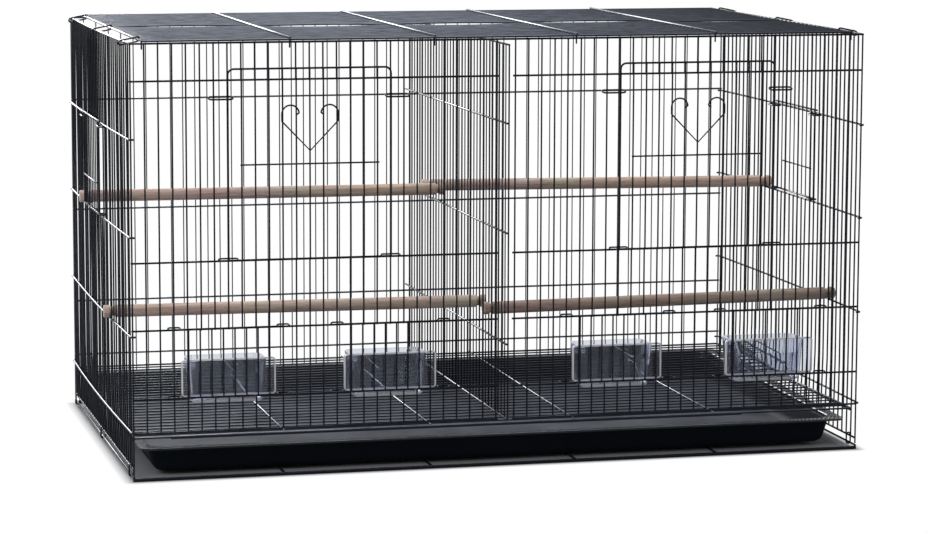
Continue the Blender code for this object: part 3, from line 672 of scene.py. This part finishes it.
def top_panel():
    bm = bmesh.new()
    end_x = HALF_WIDTH - TOP_INSET
    rail_z = TOP_RAIL_Z + RAIL / 2 + GAP + RAIL / 2
    places = cross_places(end_x)
    for step in range(1, DEPTH_STEPS):
        points = [(places[0], depth_at(step), rail_z)]
        for start, (gap, most) in zip(places, TOP_GAPS):
            far = step - gap - 0.5
            lift = math.copysign(most * TOP_EASE ** abs(far), far)
            for k in range(1, WIRE_STATIONS + 1):
                share = k / WIRE_STATIONS
                x = start + (places[1] - places[0]) * share
                points.append((x, depth_at(step), rail_z + lift * math.sin(math.pi * share)))
        bent(bm, points)
    for y in (FRONT, BACK):
        rod(bm, (-end_x, y, rail_z), (end_x, y, rail_z), RAIL)
    hook_y = FRONT + LAYER + GAP
    for x in cross_places(end_x):
        is_end = abs(x) > end_x - RAIL
        z = rail_z if is_end else rail_z + (WIRE + RAIL) / 2
        rod(bm, (x, FRONT - RAIL / 2, z), (x, BACK + RAIL / 2, z), RAIL)
        rod(bm, (x, hook_y, z), (x, hook_y, TOP_RAIL_Z - TOP_HOOK))
        for step in range(1, DEPTH_STEPS):
            bead(bm, (x, depth_at(step), rail_z + (0 if is_end else WIRE / 2)))
    return wirework("top_panel", bm)


def base_panel():
    bm = bmesh.new()
    overhang = HALF_WIDTH + RAIL / 2
    end_z = BASE_END_BOTTOM_Z + RAIL / 2 - GAP
    low_z = FRAME_BAR - (GAP + RAIL) / 2
    for y in (FRONT, BACK):
        rod(bm, (-overhang, y, FRAME_BAR / 2), (overhang, y, FRAME_BAR / 2), FRAME_BAR)
    places = cross_places(HALF_WIDTH)
    for x in (places[0], places[-1]):
        rod(bm, (x, FRONT - RAIL / 2, end_z), (x, BACK + RAIL / 2, end_z), RAIL)
        for y in (FRONT, BACK):
            bead(bm, (x, y, FRAME_BAR), RAIL * 0.66)
    for x in places[1:-1]:
        rod(bm, (x, FRONT, low_z), (x, BACK, low_z), RAIL)
    return wirework("base_panel", bm)


def divider():
    bm = bmesh.new()
    grate_top = GUIDE_TOP_Z + GAP + RAIL + GAP + WIRE
    bottom = grate_top + GAP + RAIL / 2
    start, end = FRONT - WIRE / 2, BACK - WIRE / 2 - GAP
    for step in range(DEPTH_STEPS):
        at = (DIVIDER_X, depth_at(step))
        rod(bm, (*at, bottom), (*at, DIVIDER_TOP_Z), THIN_WIRE if step % 3 else WIRE)
        for z in DIVIDER_RAILS_Z:
            bead(bm, (DIVIDER_X - WIRE / 2, depth_at(step), z))
    for z in (bottom, DIVIDER_TOP_Z):
        rod(bm, (DIVIDER_X, start, z), (DIVIDER_X, end, z), RAIL)
    for z in DIVIDER_RAILS_Z:
        rod(bm, (DIVIDER_X - SUNK, start, z), (DIVIDER_X - SUNK, end, z), RAIL)
    return wirework("divider", bm)


def loop(node, low, high, plane, place, bend, slope=0, side=0):
    """A closed wire loop round the clear space from low to high, with its ends bent round."""
    reach = WIRE / 2
    u0, v0, u1, v1 = low[0] - reach, low[1] - reach, high[0] + reach, high[1] + reach
    corners = [(u0, v0), (u1, v0), (u1, v1), (u0, v1)]
    points = [Vector((u, place, v) if plane == "XZ" else (u, v, place)) for u, v in corners]
    bm = bmesh.new()
    bent(bm, rounded(points, bend, closed=True), closed=True)
    middle = sum(points, start=Vector()) / 4
    for vert in bm.verts:
        away = vert.co - middle
        vert.co.z += slope * (away.x if plane == "XZ" else away.y)
    if side:
        bow(bm, side)
    return wirework(node, bm)


def clips():
    room = RAIL / 2 + GAP
    bend = room + WIRE / 2 - BEND_PLAY
    for name, side in SIDES:
        outer = side * (HALF_WIDTH + room + CLIP_OVERHANG)
        inner = side * (HALF_WIDTH - TOP_INSET - room)
        slope = -side * (RAIL + GAP) / TOP_INSET
        centre = (abs(outer) + abs(inner)) / 2
        level = TOP_RAIL_Z + (HALF_WIDTH - centre) * abs(slope)
        for place, step in zip(("front", "middle", "back"), TOP_CLIP_STEPS):
            y = depth_at(step) + DEPTH_PITCH / 2
            corners = (min(outer, inner), level - room), (max(outer, inner), level + room)
            loop(f"top_clip_{name}_{place}", *corners, "XZ", y, bend, slope)
        x = side * HALF_WIDTH
        low, high = BASE_END_BOTTOM_Z - GAP, SIDE_BOTTOM_Z + room
        for place, step in zip(("front", "middle", "back"), BASE_CLIP_STEPS):
            y = depth_at(step) + DEPTH_PITCH / 2
            loop(f"base_clip_{name}_{place}", (x - room, low), (x + room, high), "XZ", y, bend)


# Doors


def heart_half(middle, y, side):
    """One half of the open heart, from its tip up round the lobe to the hooked end."""
    radius = (HEART_HALF_WIDTH - HEART_CURL) / 2
    centre_x, centre_z = HEART_CURL + radius, HEART_TOP_Z - radius
    points = [(middle, y, HEART_TIP_Z), (middle + side * HEART_HALF_WIDTH, y, HEART_LOBE_Z)]
    for i in range(HEART_ARC_STEPS + 1):
        angle = math.radians(HEART_TURN) * i / HEART_ARC_STEPS
        out, up = radius * math.cos(angle), radius * math.sin(angle)
        points.append((middle + side * (centre_x + out), y, centre_z + up))
    end = [points[-1], (middle + side * HEART_CURL, y, centre_z + HEART_HOOK / 3)]
    end.append((middle + side * (HEART_CURL + HEART_HOOK), y, centre_z - HEART_HOOK / 3))
    return points + rounded(end, HEART_HOOK_BEND)[1:]


def large_door(name, side):
    bm = bmesh.new()
    edges = sorted(field_x(side, step) for step in DOOR_STEPS)
    middle = sum(edges) / 2
    y, loop_z = FRONT - LAYER, DOOR_RAIL + RAIL + GAP
    low = loop_z - LOOP_SLOPE
    corners = [(edges[0], y, low), (edges[0], y, DOOR_TOP_Z), (edges[1], y, DOOR_TOP_Z), (edges[1], y, low)]
    bent(bm, rounded(corners, DOOR_CORNER), RAIL)
    places = [field_x(side, step) for step in range(DOOR_STEPS[0] + 1, DOOR_STEPS[1])]
    for x in places:
        rod(bm, (x, y, low), (x, y, DOOR_TOP_Z))
        bead(bm, (x, y, low + RAIL / 3))
        bead(bm, (x, y, DOOR_TOP_Z - RAIL / 3))
    half = DOOR_LOOP / 2
    back_y = FRONT + WIRE / 2 + GAP + WIRE / 2
    bend = (back_y - y) / 2 - BEND_PLAY
    rod(bm, (edges[0], y, low), (edges[1], y, low), RAIL)
    for edge in edges:
        a, b = edge - half + WIRE / 2, edge + half - WIRE / 2
        corners = [(a, y, low), (a, back_y, loop_z), (b, back_y, loop_z), (b, y, low)]
        bent(bm, rounded(corners, bend, closed=True), closed=True)
    front_y = y - WIRE * 0.8
    bar_ends = min(places) - WIRE, max(places) + WIRE
    bent(bm, [(x, front_y, DOOR_SHORT_BAR_Z) for x in bar_ends])
    for x in places:
        bead(bm, (x, y - WIRE * 0.4, DOOR_SHORT_BAR_Z))
    bent(bm, heart_half(middle, front_y, -1)[::-1] + heart_half(middle, front_y, 1)[1:])
    return wirework(name, bm)


def door_rings(name, side):
    """Fixed flat rings that guide the upper part of a large door."""
    room = WIRE / 2 + GAP
    low_y, high_y = FRONT - LAYER - RAIL / 2 - GAP, FRONT + room
    for place, step, out in (("outer", DOOR_STEPS[0], -1), ("inner", DOOR_STEPS[1], 1)):
        middle = (field_x(side, step) + field_x(side, step + out)) / 2
        half = DOOR_RING_LENGTH / 2 - WIRE
        bend = (high_y - low_y + WIRE) / 2 - BEND_PLAY
        corners = (middle - half, low_y), (middle + half, high_y)
        loop(f"{name}_{place}", *corners, "XY", DOOR_RING_Z, bend, RING_SLOPE)


def feeder_door(node, middle):
    """A small grille whose corner loops go round the panel's wires and rest on its rails."""
    bm = bmesh.new()
    y, rest = FRONT - LAYER, RAIL + GAP
    back_y = FRONT + WIRE / 2 + GAP + WIRE / 2
    heights = (CUP_RAIL + rest, FEEDER_RAIL + rest)
    bars = [z - LOOP_SLOPE for z in heights]
    for i in range(FEEDER_WIRES):
        x = middle + FEEDER_HALF_WIDTH * (2 * i / (FEEDER_WIRES - 1) - 1)
        rod(bm, (x, y, bars[0]), (x, y, bars[1]))
        for z, way in zip(bars, (1, -1)):
            bead(bm, (x, y, z + way * RAIL / 3))
    reach = FEEDER_LOOP_REACH * FIELD_PITCH
    outer, inner = reach + FEEDER_LOOP / 2 - WIRE / 2, reach - FEEDER_LOOP / 2 + WIRE / 2
    bend = (back_y - y) / 2 - BEND_PLAY
    for z, bar in zip(heights, bars):
        rod(bm, (middle - reach, y, bar), (middle + reach, y, bar), RAIL)
        for side in (-1, 1):
            a, b = middle + side * inner, middle + side * outer
            corners = [(a, y, bar), (a, back_y, z), (b, back_y, z), (b, y, bar)]
            bent(bm, rounded(corners, bend, closed=True), closed=True)
    return wirework(node, bm)


def nest_plane(side):
    return side * (HALF_WIDTH + LAYER + RAIL + GAP)


def nest_edges(side):
    return sorted(side * depth_at(step) for step in NEST_STEPS)


def nest_door(name, side):
    bm = bmesh.new()
    x, edges = nest_plane(side), nest_edges(side)
    low, high = NEST_SILL_RAIL + RAIL + GAP, NEST_TOP_RAIL + RAIL + GAP
    inside_x = side * (HALF_WIDTH - WIRE / 2 - GAP - WIRE / 2)
    for step in range(NEST_STEPS[0], NEST_STEPS[1] + 1):
        y = side * depth_at(step)
        rod(bm, (x, y, low), (x, y, high), RAIL if step in NEST_STEPS else THIN_WIRE)
        bead(bm, (x, y, low + RAIL / 3))
        bead(bm, (x, y, high - RAIL / 3))
    half = NEST_LOOP / 2
    for z in (low, high):
        rod(bm, (x, edges[0] - half, z), (x, edges[1] + half, z), RAIL)
    for edge in edges:
        a, b = edge - half + WIRE / 2, edge + half - WIRE / 2
        corners = [(x, a, low), (inside_x, a, low), (inside_x, b, low), (x, b, low)]
        bent(bm, rounded(corners, NEST_LOOP_BEND))
    front_x = x + side * WIRE * 0.8
    start, end = edges[0] + DEPTH_PITCH, edges[1] - DEPTH_PITCH
    rod(bm, (front_x, start, NEST_SHORT_BAR_Z), (front_x, end, NEST_SHORT_BAR_Z))
    bow(bm, side)
    return wirework(name, bm)


def nest_rings(name, side):
    room = RAIL / 2 + GAP
    xs = sorted((nest_plane(side) + side * room, side * (HALF_WIDTH - room)))
    z = NEST_TOP_RAIL - RAIL / 2 - GAP - WIRE / 2
    for place, edge, out in zip(("front", "back"), nest_edges(side), (-1, 1)):
        middle = edge + out * DEPTH_PITCH / 2
        half = NEST_RING_LENGTH / 2 - WIRE
        corners = (xs[0], middle - half), (xs[1], middle + half)
        loop(f"{name}_{place}", *corners, "XY", z, NEST_RING_BEND, side=side)


# Moulded and turned pieces


def round_sheet(bm, low, high, z, corner, segments):
    """A flat sheet with round corners."""
    centre = Vector(((low[0] + high[0]) / 2, (low[1] + high[1]) / 2, z))
    size = Vector((high[0] - low[0], high[1] - low[1], 1))
    place = Matrix.Translation(centre) @ Matrix.Diagonal((*size, 1))
    known = set(bm.faces)
    made = bmesh.ops.create_grid(bm, x_segments=1, y_segments=1, size=0.5, matrix=place)["verts"]
    bmesh.ops.bevel(
        bm, geom=made, offset=corner, affect="VERTICES", segments=segments, profile=0.5, material=-1)
    return [face for face in bm.faces if face not in known]


def press(bm, faces, steps):
    """Presses the middle of a sheet down, step by step: how far in and how far down."""
    for inwards, down in steps:
        bmesh.ops.inset_region(
            bm, faces=faces, thickness=inwards, depth=-down, use_even_offset=True, use_boundary=True)
    return faces


def body_steps(draft, height, lip, bend):
    """The steps of a pressed body: its lip, its long wall and the bend into its floor."""
    rest = height - sum(down for _, down in (*lip, *bend))
    return [*lip, (draft, rest), *bend]


def corner_middle(low, high, radius, near):
    """Centre of the round corner of a sheet that lies nearest to a point."""
    x = low[0] + radius if near.x < (low[0] + high[0]) / 2 else high[0] - radius
    y = low[1] + radius if near.y < (low[1] + high[1]) / 2 else high[1] - radius
    return Vector((x, y))


def tray():
    """A body with round corners, pressed down from a flange with nearly square ones."""
    bm = bmesh.new()
    top, inset = TRAY_BOTTOM_Z + TRAY_HEIGHT, TRAY_FLANGE + TRAY_WALL
    half, front, back = HALF_WIDTH - TRAY_SIDE, FRONT + TRAY_FRONT, BACK - TRAY_BACK
    low, high = (inset - half, front + inset), (half - inset, back - inset)
    faces = round_sheet(bm, low, high, top, TRAY_WALL_CORNER, 10)
    flange = bmesh.ops.extrude_edge_only(bm, edges=faces[0].edges[:])["geom"]
    for vert in (item for item in flange if isinstance(item, bmesh.types.BMVert)):
        arm = vert.co.xy - corner_middle(low, high, TRAY_WALL_CORNER, vert.co)
        middle = corner_middle((-half, front), (half, back), TRAY_CORNER, vert.co)
        vert.co.xy = middle + arm * TRAY_CORNER / TRAY_WALL_CORNER
    depth = TRAY_HEIGHT - TRAY_WALL
    press(bm, faces, body_steps(TRAY_DRAFT / 2, depth, TRAY_LIP_STEPS, TRAY_BEND_STEPS))
    for vert in bm.verts:
        share = max(0, vert.co.y - front) / (back - front)
        vert.co.z += TRAY_RISE * share * (vert.co.z - top + depth) / depth
    upward_shell(bm, faces[0], TRAY_WALL)
    return finished("tray", bm, plastic, sharp=35)


def upward_shell(bm, floor_face, wall):
    """Gives a pressed sheet its wall, on the side away from the hollow."""
    bmesh.ops.recalc_face_normals(bm, faces=bm.faces)
    if floor_face.normal.z < 0:
        bmesh.ops.reverse_faces(bm, faces=bm.faces)
    bmesh.ops.solidify(bm, geom=bm.faces[:], thickness=wall)


def cup(node, middle):
    """A clear cup whose hooked front plate stands on the rail below the opening."""
    rail_front, rail_back = FRONT + WIRE / 2 + GAP, FRONT + LAYER + RAIL / 2 + GAP
    half = CUP_WIDTH / 2 - CUP_WALL
    bm = bmesh.new()
    low = (middle - half, rail_back + CUP_WALL)
    high = (middle + half, rail_back + CUP_DEPTH - CUP_WALL)
    faces = round_sheet(bm, low, high, CUP_TOP_Z, CUP_CORNER, 6)
    height = CUP_TOP_Z - CUP_BOTTOM_Z - CUP_WALL
    press(bm, faces, body_steps(CUP_DRAFT, height, (), CUP_BEND_STEPS))
    upward_shell(bm, faces[0], CUP_WALL)
    # The rim and a band in the bend just above the floor take the white edge material: painted glow.
    for face in bm.faces:
        middle_z = face.calc_center_median().z
        on_rim = middle_z > CUP_TOP_Z - CUP_WALL / 4
        in_bend = CUP_BOTTOM_Z + CUP_WALL / 3 < middle_z < CUP_BOTTOM_Z + CUP_EDGE_GLOW
        face.material_index = int(on_rim or (in_bend and len(face.verts) == 4))
    body = finished(node, bm, clear, sharp=35)
    body.data.materials.append(glowing_cup_edge)
    plate = bmesh.new()
    low = Vector((middle - CUP_PLATE_WIDTH / 2, rail_front, CUP_RAIL + RAIL / 2 + GAP))
    high = Vector((middle + CUP_PLATE_WIDTH / 2, rail_back + CUP_WALL / 2, CUP_TOP_Z + CUP_WALL))
    verts = bmesh.ops.create_cube(plate, size=1)["verts"]
    bmesh.ops.scale(plate, vec=high - low, verts=verts)
    bmesh.ops.translate(plate, vec=(low + high) / 2, verts=verts)
    upright = [edge for edge in plate.edges if abs(edge.verts[0].co.y - edge.verts[1].co.y) > 0.001]
    bmesh.ops.bevel(
        plate, geom=upright, offset=CUP_PLATE_CORNER, affect="EDGES", segments=4, profile=0.5, material=-1)
    bmesh.ops.recalc_face_normals(plate, faces=plate.faces)
    panes = [face for face in plate.faces if abs(face.normal.y) > 0.9]
    bmesh.ops.inset_region(plate, faces=panes, thickness=CUP_EDGE, use_even_offset=True)
    # The plate's narrow faces and its edge band take the white edge material: painted glow.
    for face in plate.faces:
        face.material_index = int(face not in panes)
    mesh = bpy.data.meshes.new(f"{node}_plate")
    plate.to_mesh(mesh)
    plate.free()
    mesh.materials.append(clear)
    mesh.materials.append(glowing_cup_edge)
    joined = bpy.data.objects.new(f"{node}_plate", mesh)
    bpy.context.scene.collection.objects.link(joined)
    union = body.modifiers.new("plate", "BOOLEAN")
    union.operation, union.solver, union.object = "UNION", "EXACT", joined
    made = bpy.data.meshes.new_from_object(body.evaluated_get(bpy.context.evaluated_depsgraph_get()))
    body.modifiers.clear()
    body.data = made
    made.shade_smooth()
    made.set_sharp_from_angle(angle=math.radians(35))
    bpy.data.objects.remove(joined)
    return body


def perch(node, side, side_step, divider_step, rail_z):
    """A turned dowel with a groove where each panel's wires pass and a knob beyond it."""
    z = rail_z + RAIL / 2 + GAP + PERCH_GROOVE / 2
    start = Vector((side * HALF_WIDTH, depth_at(side_step) + DEPTH_PITCH / 2, z))
    end = Vector((DIVIDER_X, depth_at(divider_step) + DEPTH_PITCH / 2, z))
    length = (end - start).length
    radius, groove = PERCH_DIAMETER / 2, PERCH_GROOVE / 2
    side_out, wires_out = WIRE / 2 + GAP + RAIL + PERCH_SLACK, WIRE / 2 + PERCH_SLACK
    ease = PERCH_EASE
    outline = [(-side_out - PERCH_KNOB, 0), (-side_out - PERCH_KNOB, radius - ease)]
    outline.append((-side_out - PERCH_KNOB + ease, radius))
    for low, high in ((-side_out, wires_out), (length - wires_out, length + wires_out)):
        outline += [(low - ease / 2, radius), (low, radius - ease / 2), (low, groove), (high, groove)]
        outline += [(high, radius - ease / 2), (high + ease / 2, radius)]
    tip = length + wires_out + PERCH_KNOB
    outline += [(tip - ease, radius), (tip, radius - ease), (tip, 0)]
    bm = bmesh.new()
    verts = [bm.verts.new((r, 0, place)) for place, r in outline]
    edges = [bm.edges.new(pair) for pair in zip(verts, verts[1:])]
    bmesh.ops.spin(
        bm, geom=verts + edges, cent=(0, 0, 0), axis=(0, 0, 1), angle=2 * math.pi, steps=24, use_merge=True)
    bmesh.ops.remove_doubles(bm, verts=bm.verts, dist=0.00001)
    along = (end - start).normalized().to_track_quat("Z", "Y").to_matrix().to_4x4()
    bmesh.ops.transform(bm, matrix=Matrix.Translation(start) @ along, verts=bm.verts)
    # The lower right perch takes the darker copy of the wood: painted shade.
    look = shaded_wood if node == "right_perch_lower" else wood
    return finished(node, bm, look, sharp=40)


def grate():
    bm = bmesh.new()
    rail_z = GUIDE_TOP_Z + GAP + RAIL / 2
    half = HALF_WIDTH - WIRE / 2 - 2 * GAP - RAIL / 2
    front, back = FRONT + GRATE_FRONT, BACK - GRATE_BACK
    pitch = (back - front) / GRATE_STEPS
    rows = [front + step * pitch for step in range(1, GRATE_STEPS)]
    for y in rows:
        rod(bm, (-half, y, rail_z), (half, y, rail_z))
    for y in (front, back):
        rod(bm, (-half, y, rail_z), (half, y, rail_z), RAIL)
    for x in cross_places(half):
        is_end = abs(x) > half - RAIL
        z, size = (rail_z, RAIL) if is_end else (rail_z + WIRE * 0.85, WIRE)
        rod(bm, (x, front - RAIL / 2, z), (x, back + RAIL / 2, z), size)
        for y in rows:
            bead(bm, (x, y, rail_z + (0 if is_end else WIRE * 0.4)))
    bar_y = front - RAIL / 2 - FRAME_BAR / 2 + GRATE_BAR_BITE
    start, end = (-half + share * 2 * half for share in GRATE_BAR_SHARES)
    rod(bm, (start, bar_y, rail_z), (end, bar_y, rail_z), FRAME_BAR)
    return wirework("grate", bm)


# Camera, light and floor


def camera():
    """The photograph's place and direction, fitted to the cage's corners and rails."""
    yaw, pitch, roll = (math.radians(angle) for angle in (CAMERA_YAW, CAMERA_PITCH, CAMERA_ROLL))
    forward = Vector((math.sin(yaw) * math.cos(pitch), math.cos(yaw) * math.cos(pitch), -math.sin(pitch)))
    right = Vector((math.cos(yaw), -math.sin(yaw), 0))
    up = right.cross(forward)
    turned_right = right * math.cos(roll) + up * math.sin(roll)
    turned_up = up * math.cos(roll) - right * math.sin(roll)
    data = bpy.data.cameras.new("camera")
    data.lens, data.sensor_width = LENS, SENSOR
    data.clip_start, data.clip_end = 0.05, 50
    eye = bpy.data.objects.new("camera", data)
    columns = Matrix((turned_right, turned_up, -forward)).transposed()
    eye.matrix_world = Matrix.Translation(CAMERA_PLACE) @ columns.to_4x4()
    bpy.context.scene.collection.objects.link(eye)
    bpy.context.scene.camera = eye


def lamp(name, place, aim, size, power):
    data = bpy.data.lights.new(name, "AREA")
    data.shape, data.size, data.energy = "DISK", size, power
    obj = bpy.data.objects.new(name, data)
    obj.location = place
    obj.rotation_euler = (Vector(aim) - Vector(place)).to_track_quat("-Z", "Y").to_euler()
    bpy.context.scene.collection.objects.link(obj)


def seen_ray(tree, split, reflected, front):
    """1 for what the camera looks at and for what clear plastic or a reflection shows behind the cage.

    A ray that runs back towards the front sees little, and so does a reflection towards the right.
    Light from the backdrop is 0."""
    path = add(tree, "LightPath")
    way = split.outputs["Y"]
    backdrop = add(tree, "MapRange", in_1=-0.5, in_2=0.5, in_3=front, in_4=reflected)
    leftward = add(tree, "MapRange", in_1=0.05, in_2=0.36, in_3=1.0, in_4=0.2)
    tinted = add(tree, "Math", operation="MULTIPLY")
    behind = add(tree, "MapRange", in_1=-0.1, in_2=0.1, in_3=front, in_4=1.0)
    glossy = add(tree, "Math", operation="MULTIPLY")
    clear_view = add(tree, "Math", operation="MULTIPLY")
    first = add(tree, "Math", operation="MAXIMUM")
    second = add(tree, "Math", operation="MAXIMUM")
    link = tree.links.new
    link(way, backdrop.inputs[0])
    link(split.outputs["X"], leftward.inputs[0])
    link(backdrop.outputs[0], tinted.inputs[0])
    link(leftward.outputs[0], tinted.inputs[1])
    link(way, behind.inputs[0])
    link(path.outputs["Is Glossy Ray"], glossy.inputs[0])
    link(tinted.outputs[0], glossy.inputs[1])
    link(path.outputs["Is Transmission Ray"], clear_view.inputs[0])
    link(behind.outputs[0], clear_view.inputs[1])
    link(path.outputs["Is Camera Ray"], first.inputs[0])
    link(glossy.outputs[0], first.inputs[1])
    link(first.outputs[0], second.inputs[0])
    link(clear_view.outputs[0], second.inputs[1])
    return second.outputs[0]


def studio():
    world = bpy.data.worlds.new("studio")
    world.use_nodes = True
    bpy.context.scene.world = world
    tree = world.node_tree
    light = tree.nodes["Background"]
    light.inputs["Color"].default_value = (1, 1, 1, 1)
    light.inputs["Strength"].default_value = 0.3
    white = add(tree, "Background")
    white.inputs["Color"].default_value = (1, 1, 1, 1)
    mix = add(tree, "MixShader")
    place = add(tree, "TexCoord")
    way = add(tree, "SeparateXYZ")
    tree.links.new(place.outputs["Generated"], way.inputs[0])
    tree.links.new(seen_ray(tree, way, 0.85, 0.08), mix.inputs[0])
    tree.links.new(light.outputs[0], mix.inputs[1])
    tree.links.new(white.outputs[0], mix.inputs[2])
    tree.links.new(mix.outputs[0], tree.nodes["World Output"].inputs["Surface"])
    lamp("rim", (-0.6, 2.9, 1.2), (0, 0, 0.2), 1.4, 55)
    lamp("key", (-0.1, 0.7, 2.6), (0, 0, 0.2), 1.6, 40)
    lamp("fill", (-1.8, -1.6, 1.8), (0, 0, 0.2), 1.6, 18)


def floor():
    """Grey floor, darkened under the cage as painted shade, that turns into the white background within 12
    mm beyond the cage.
    """
    bm = bmesh.new()
    bmesh.ops.create_grid(bm, x_segments=1, y_segments=1, size=12)
    mesh = bpy.data.meshes.new("floor")
    bm.to_mesh(mesh)
    bm.free()
    obj = bpy.data.objects.new("floor", mesh)
    bpy.context.scene.collection.objects.link(obj)
    made, tree, shader = new_material("grey floor with painted shade under the cage")
    # The grey base colour, seen only under the cage, darkens it past its own shadow: painted shade.
    shader.inputs["Base Color"].default_value = (0.44, 0.45, 0.47, 1)
    shader.inputs["Roughness"].default_value = 0.8
    shader.inputs["Specular IOR Level"].default_value = 0.1
    glow = add(tree, "Emission")
    mix = add(tree, "MixShader")
    place = add(tree, "TexCoord")
    size = add(tree, "VectorMath", operation="ABSOLUTE")
    past = add(tree, "VectorMath", operation="SUBTRACT")
    past.inputs[1].default_value = (HALF_WIDTH, HALF_DEPTH, 0)
    beyond = add(tree, "VectorMath", operation="MAXIMUM")
    far = add(tree, "VectorMath", operation="LENGTH")
    share = add(tree, "MapRange", in_1=0.0, in_2=0.012, in_3=0.0, in_4=1.0)
    ray = add(tree, "NewGeometry")
    back = add(tree, "VectorMath", operation="SCALE")
    back.inputs["Scale"].default_value = -1.0
    way = add(tree, "SeparateXYZ")
    tree.links.new(ray.outputs["Incoming"], back.inputs[0])
    tree.links.new(back.outputs["Vector"], way.inputs[0])
    seen = add(tree, "Math", operation="MULTIPLY")
    tree.links.new(place.outputs["Object"], size.inputs[0])
    tree.links.new(size.outputs["Vector"], past.inputs[0])
    tree.links.new(past.outputs["Vector"], beyond.inputs[0])
    tree.links.new(beyond.outputs["Vector"], far.inputs[0])
    tree.links.new(far.outputs["Value"], share.inputs[0])
    tree.links.new(share.outputs[0], seen.inputs[0])
    tree.links.new(seen_ray(tree, way, 0.15, 0.08), seen.inputs[1])
    tree.links.new(seen.outputs[0], mix.inputs[0])
    tree.links.new(shader.outputs[0], mix.inputs[1])
    tree.links.new(glow.outputs[0], mix.inputs[2])
    tree.links.new(mix.outputs[0], tree.nodes["Material Output"].inputs["Surface"])
    mesh.materials.append(made)


camera()
studio()
floor()
surface = surface_group()
coat = coat_material("black powder coat", surface, (0.006, 0.007, 0.011), 0.34)
# A paler copy of the black coat for the back panel: painted flare, the glare of the white background
# lightening the far wires.
flare_paled_coat = coat_material("powder coat paled by painted flare", surface, (0.070, 0.073, 0.082), 0.60)
sheen_falloff = sheen_falloff_group()
# The top panel's coat takes a bluish pale colour on faces turned upwards. It is strong up to 0.10 m right
# of the middle and fades towards the right end: painted sheen of the light from above.
sheen_painted_coat = coat_material("powder coat with painted sheen", surface, (0.012, 0.014, 0.021), 0.45)
with_sheen_falloff(sheen_painted_coat, sheen_falloff, X, (0.10, 0.34), (0.98, 0.22))
# The grate's coat takes a pale colour on faces turned upwards, strong at the front and faint at the back:
# painted glints.
glint_painted_coat = coat_material("powder coat with painted glints", surface, (0.010, 0.011, 0.015), 0.50)
with_sheen_falloff(glint_painted_coat, sheen_falloff, Y, (-0.22, 0.20), (0.80, 0.18))
plastic = tray_material(surface)
clear = cup_material()
glowing_cup_edge = cup_edge_glow_material(surface)
wood = wood_material("bare perch wood", 1.12)
# A darker copy of the wood for the lower right perch: painted shade.
shaded_wood = wood_material("perch wood with painted shade", 0.74)

front_panel()
back_panel()
side_panel("left_panel", -1)
side_panel("right_panel", 1)
top_panel()
base_panel()
divider()
clips()
for name, side in SIDES:
    large_door(f"{name}_door", side)
    door_rings(f"{name}_door_ring", side)
    nest_door(f"{name}_nest_door", side)
    nest_rings(f"{name}_nest_ring", side)
    for place, step in zip(("outer", "inner"), DOOR_STEPS):
        feeder_door(f"{name}_feeder_door_{place}", field_x(side, step))
        cup(f"{name}_cup_{place}", field_x(side, step))
for values in PERCHES:
    perch(*values)
grate()
tray()

bpy.context.scene.view_settings.view_transform = "Standard"
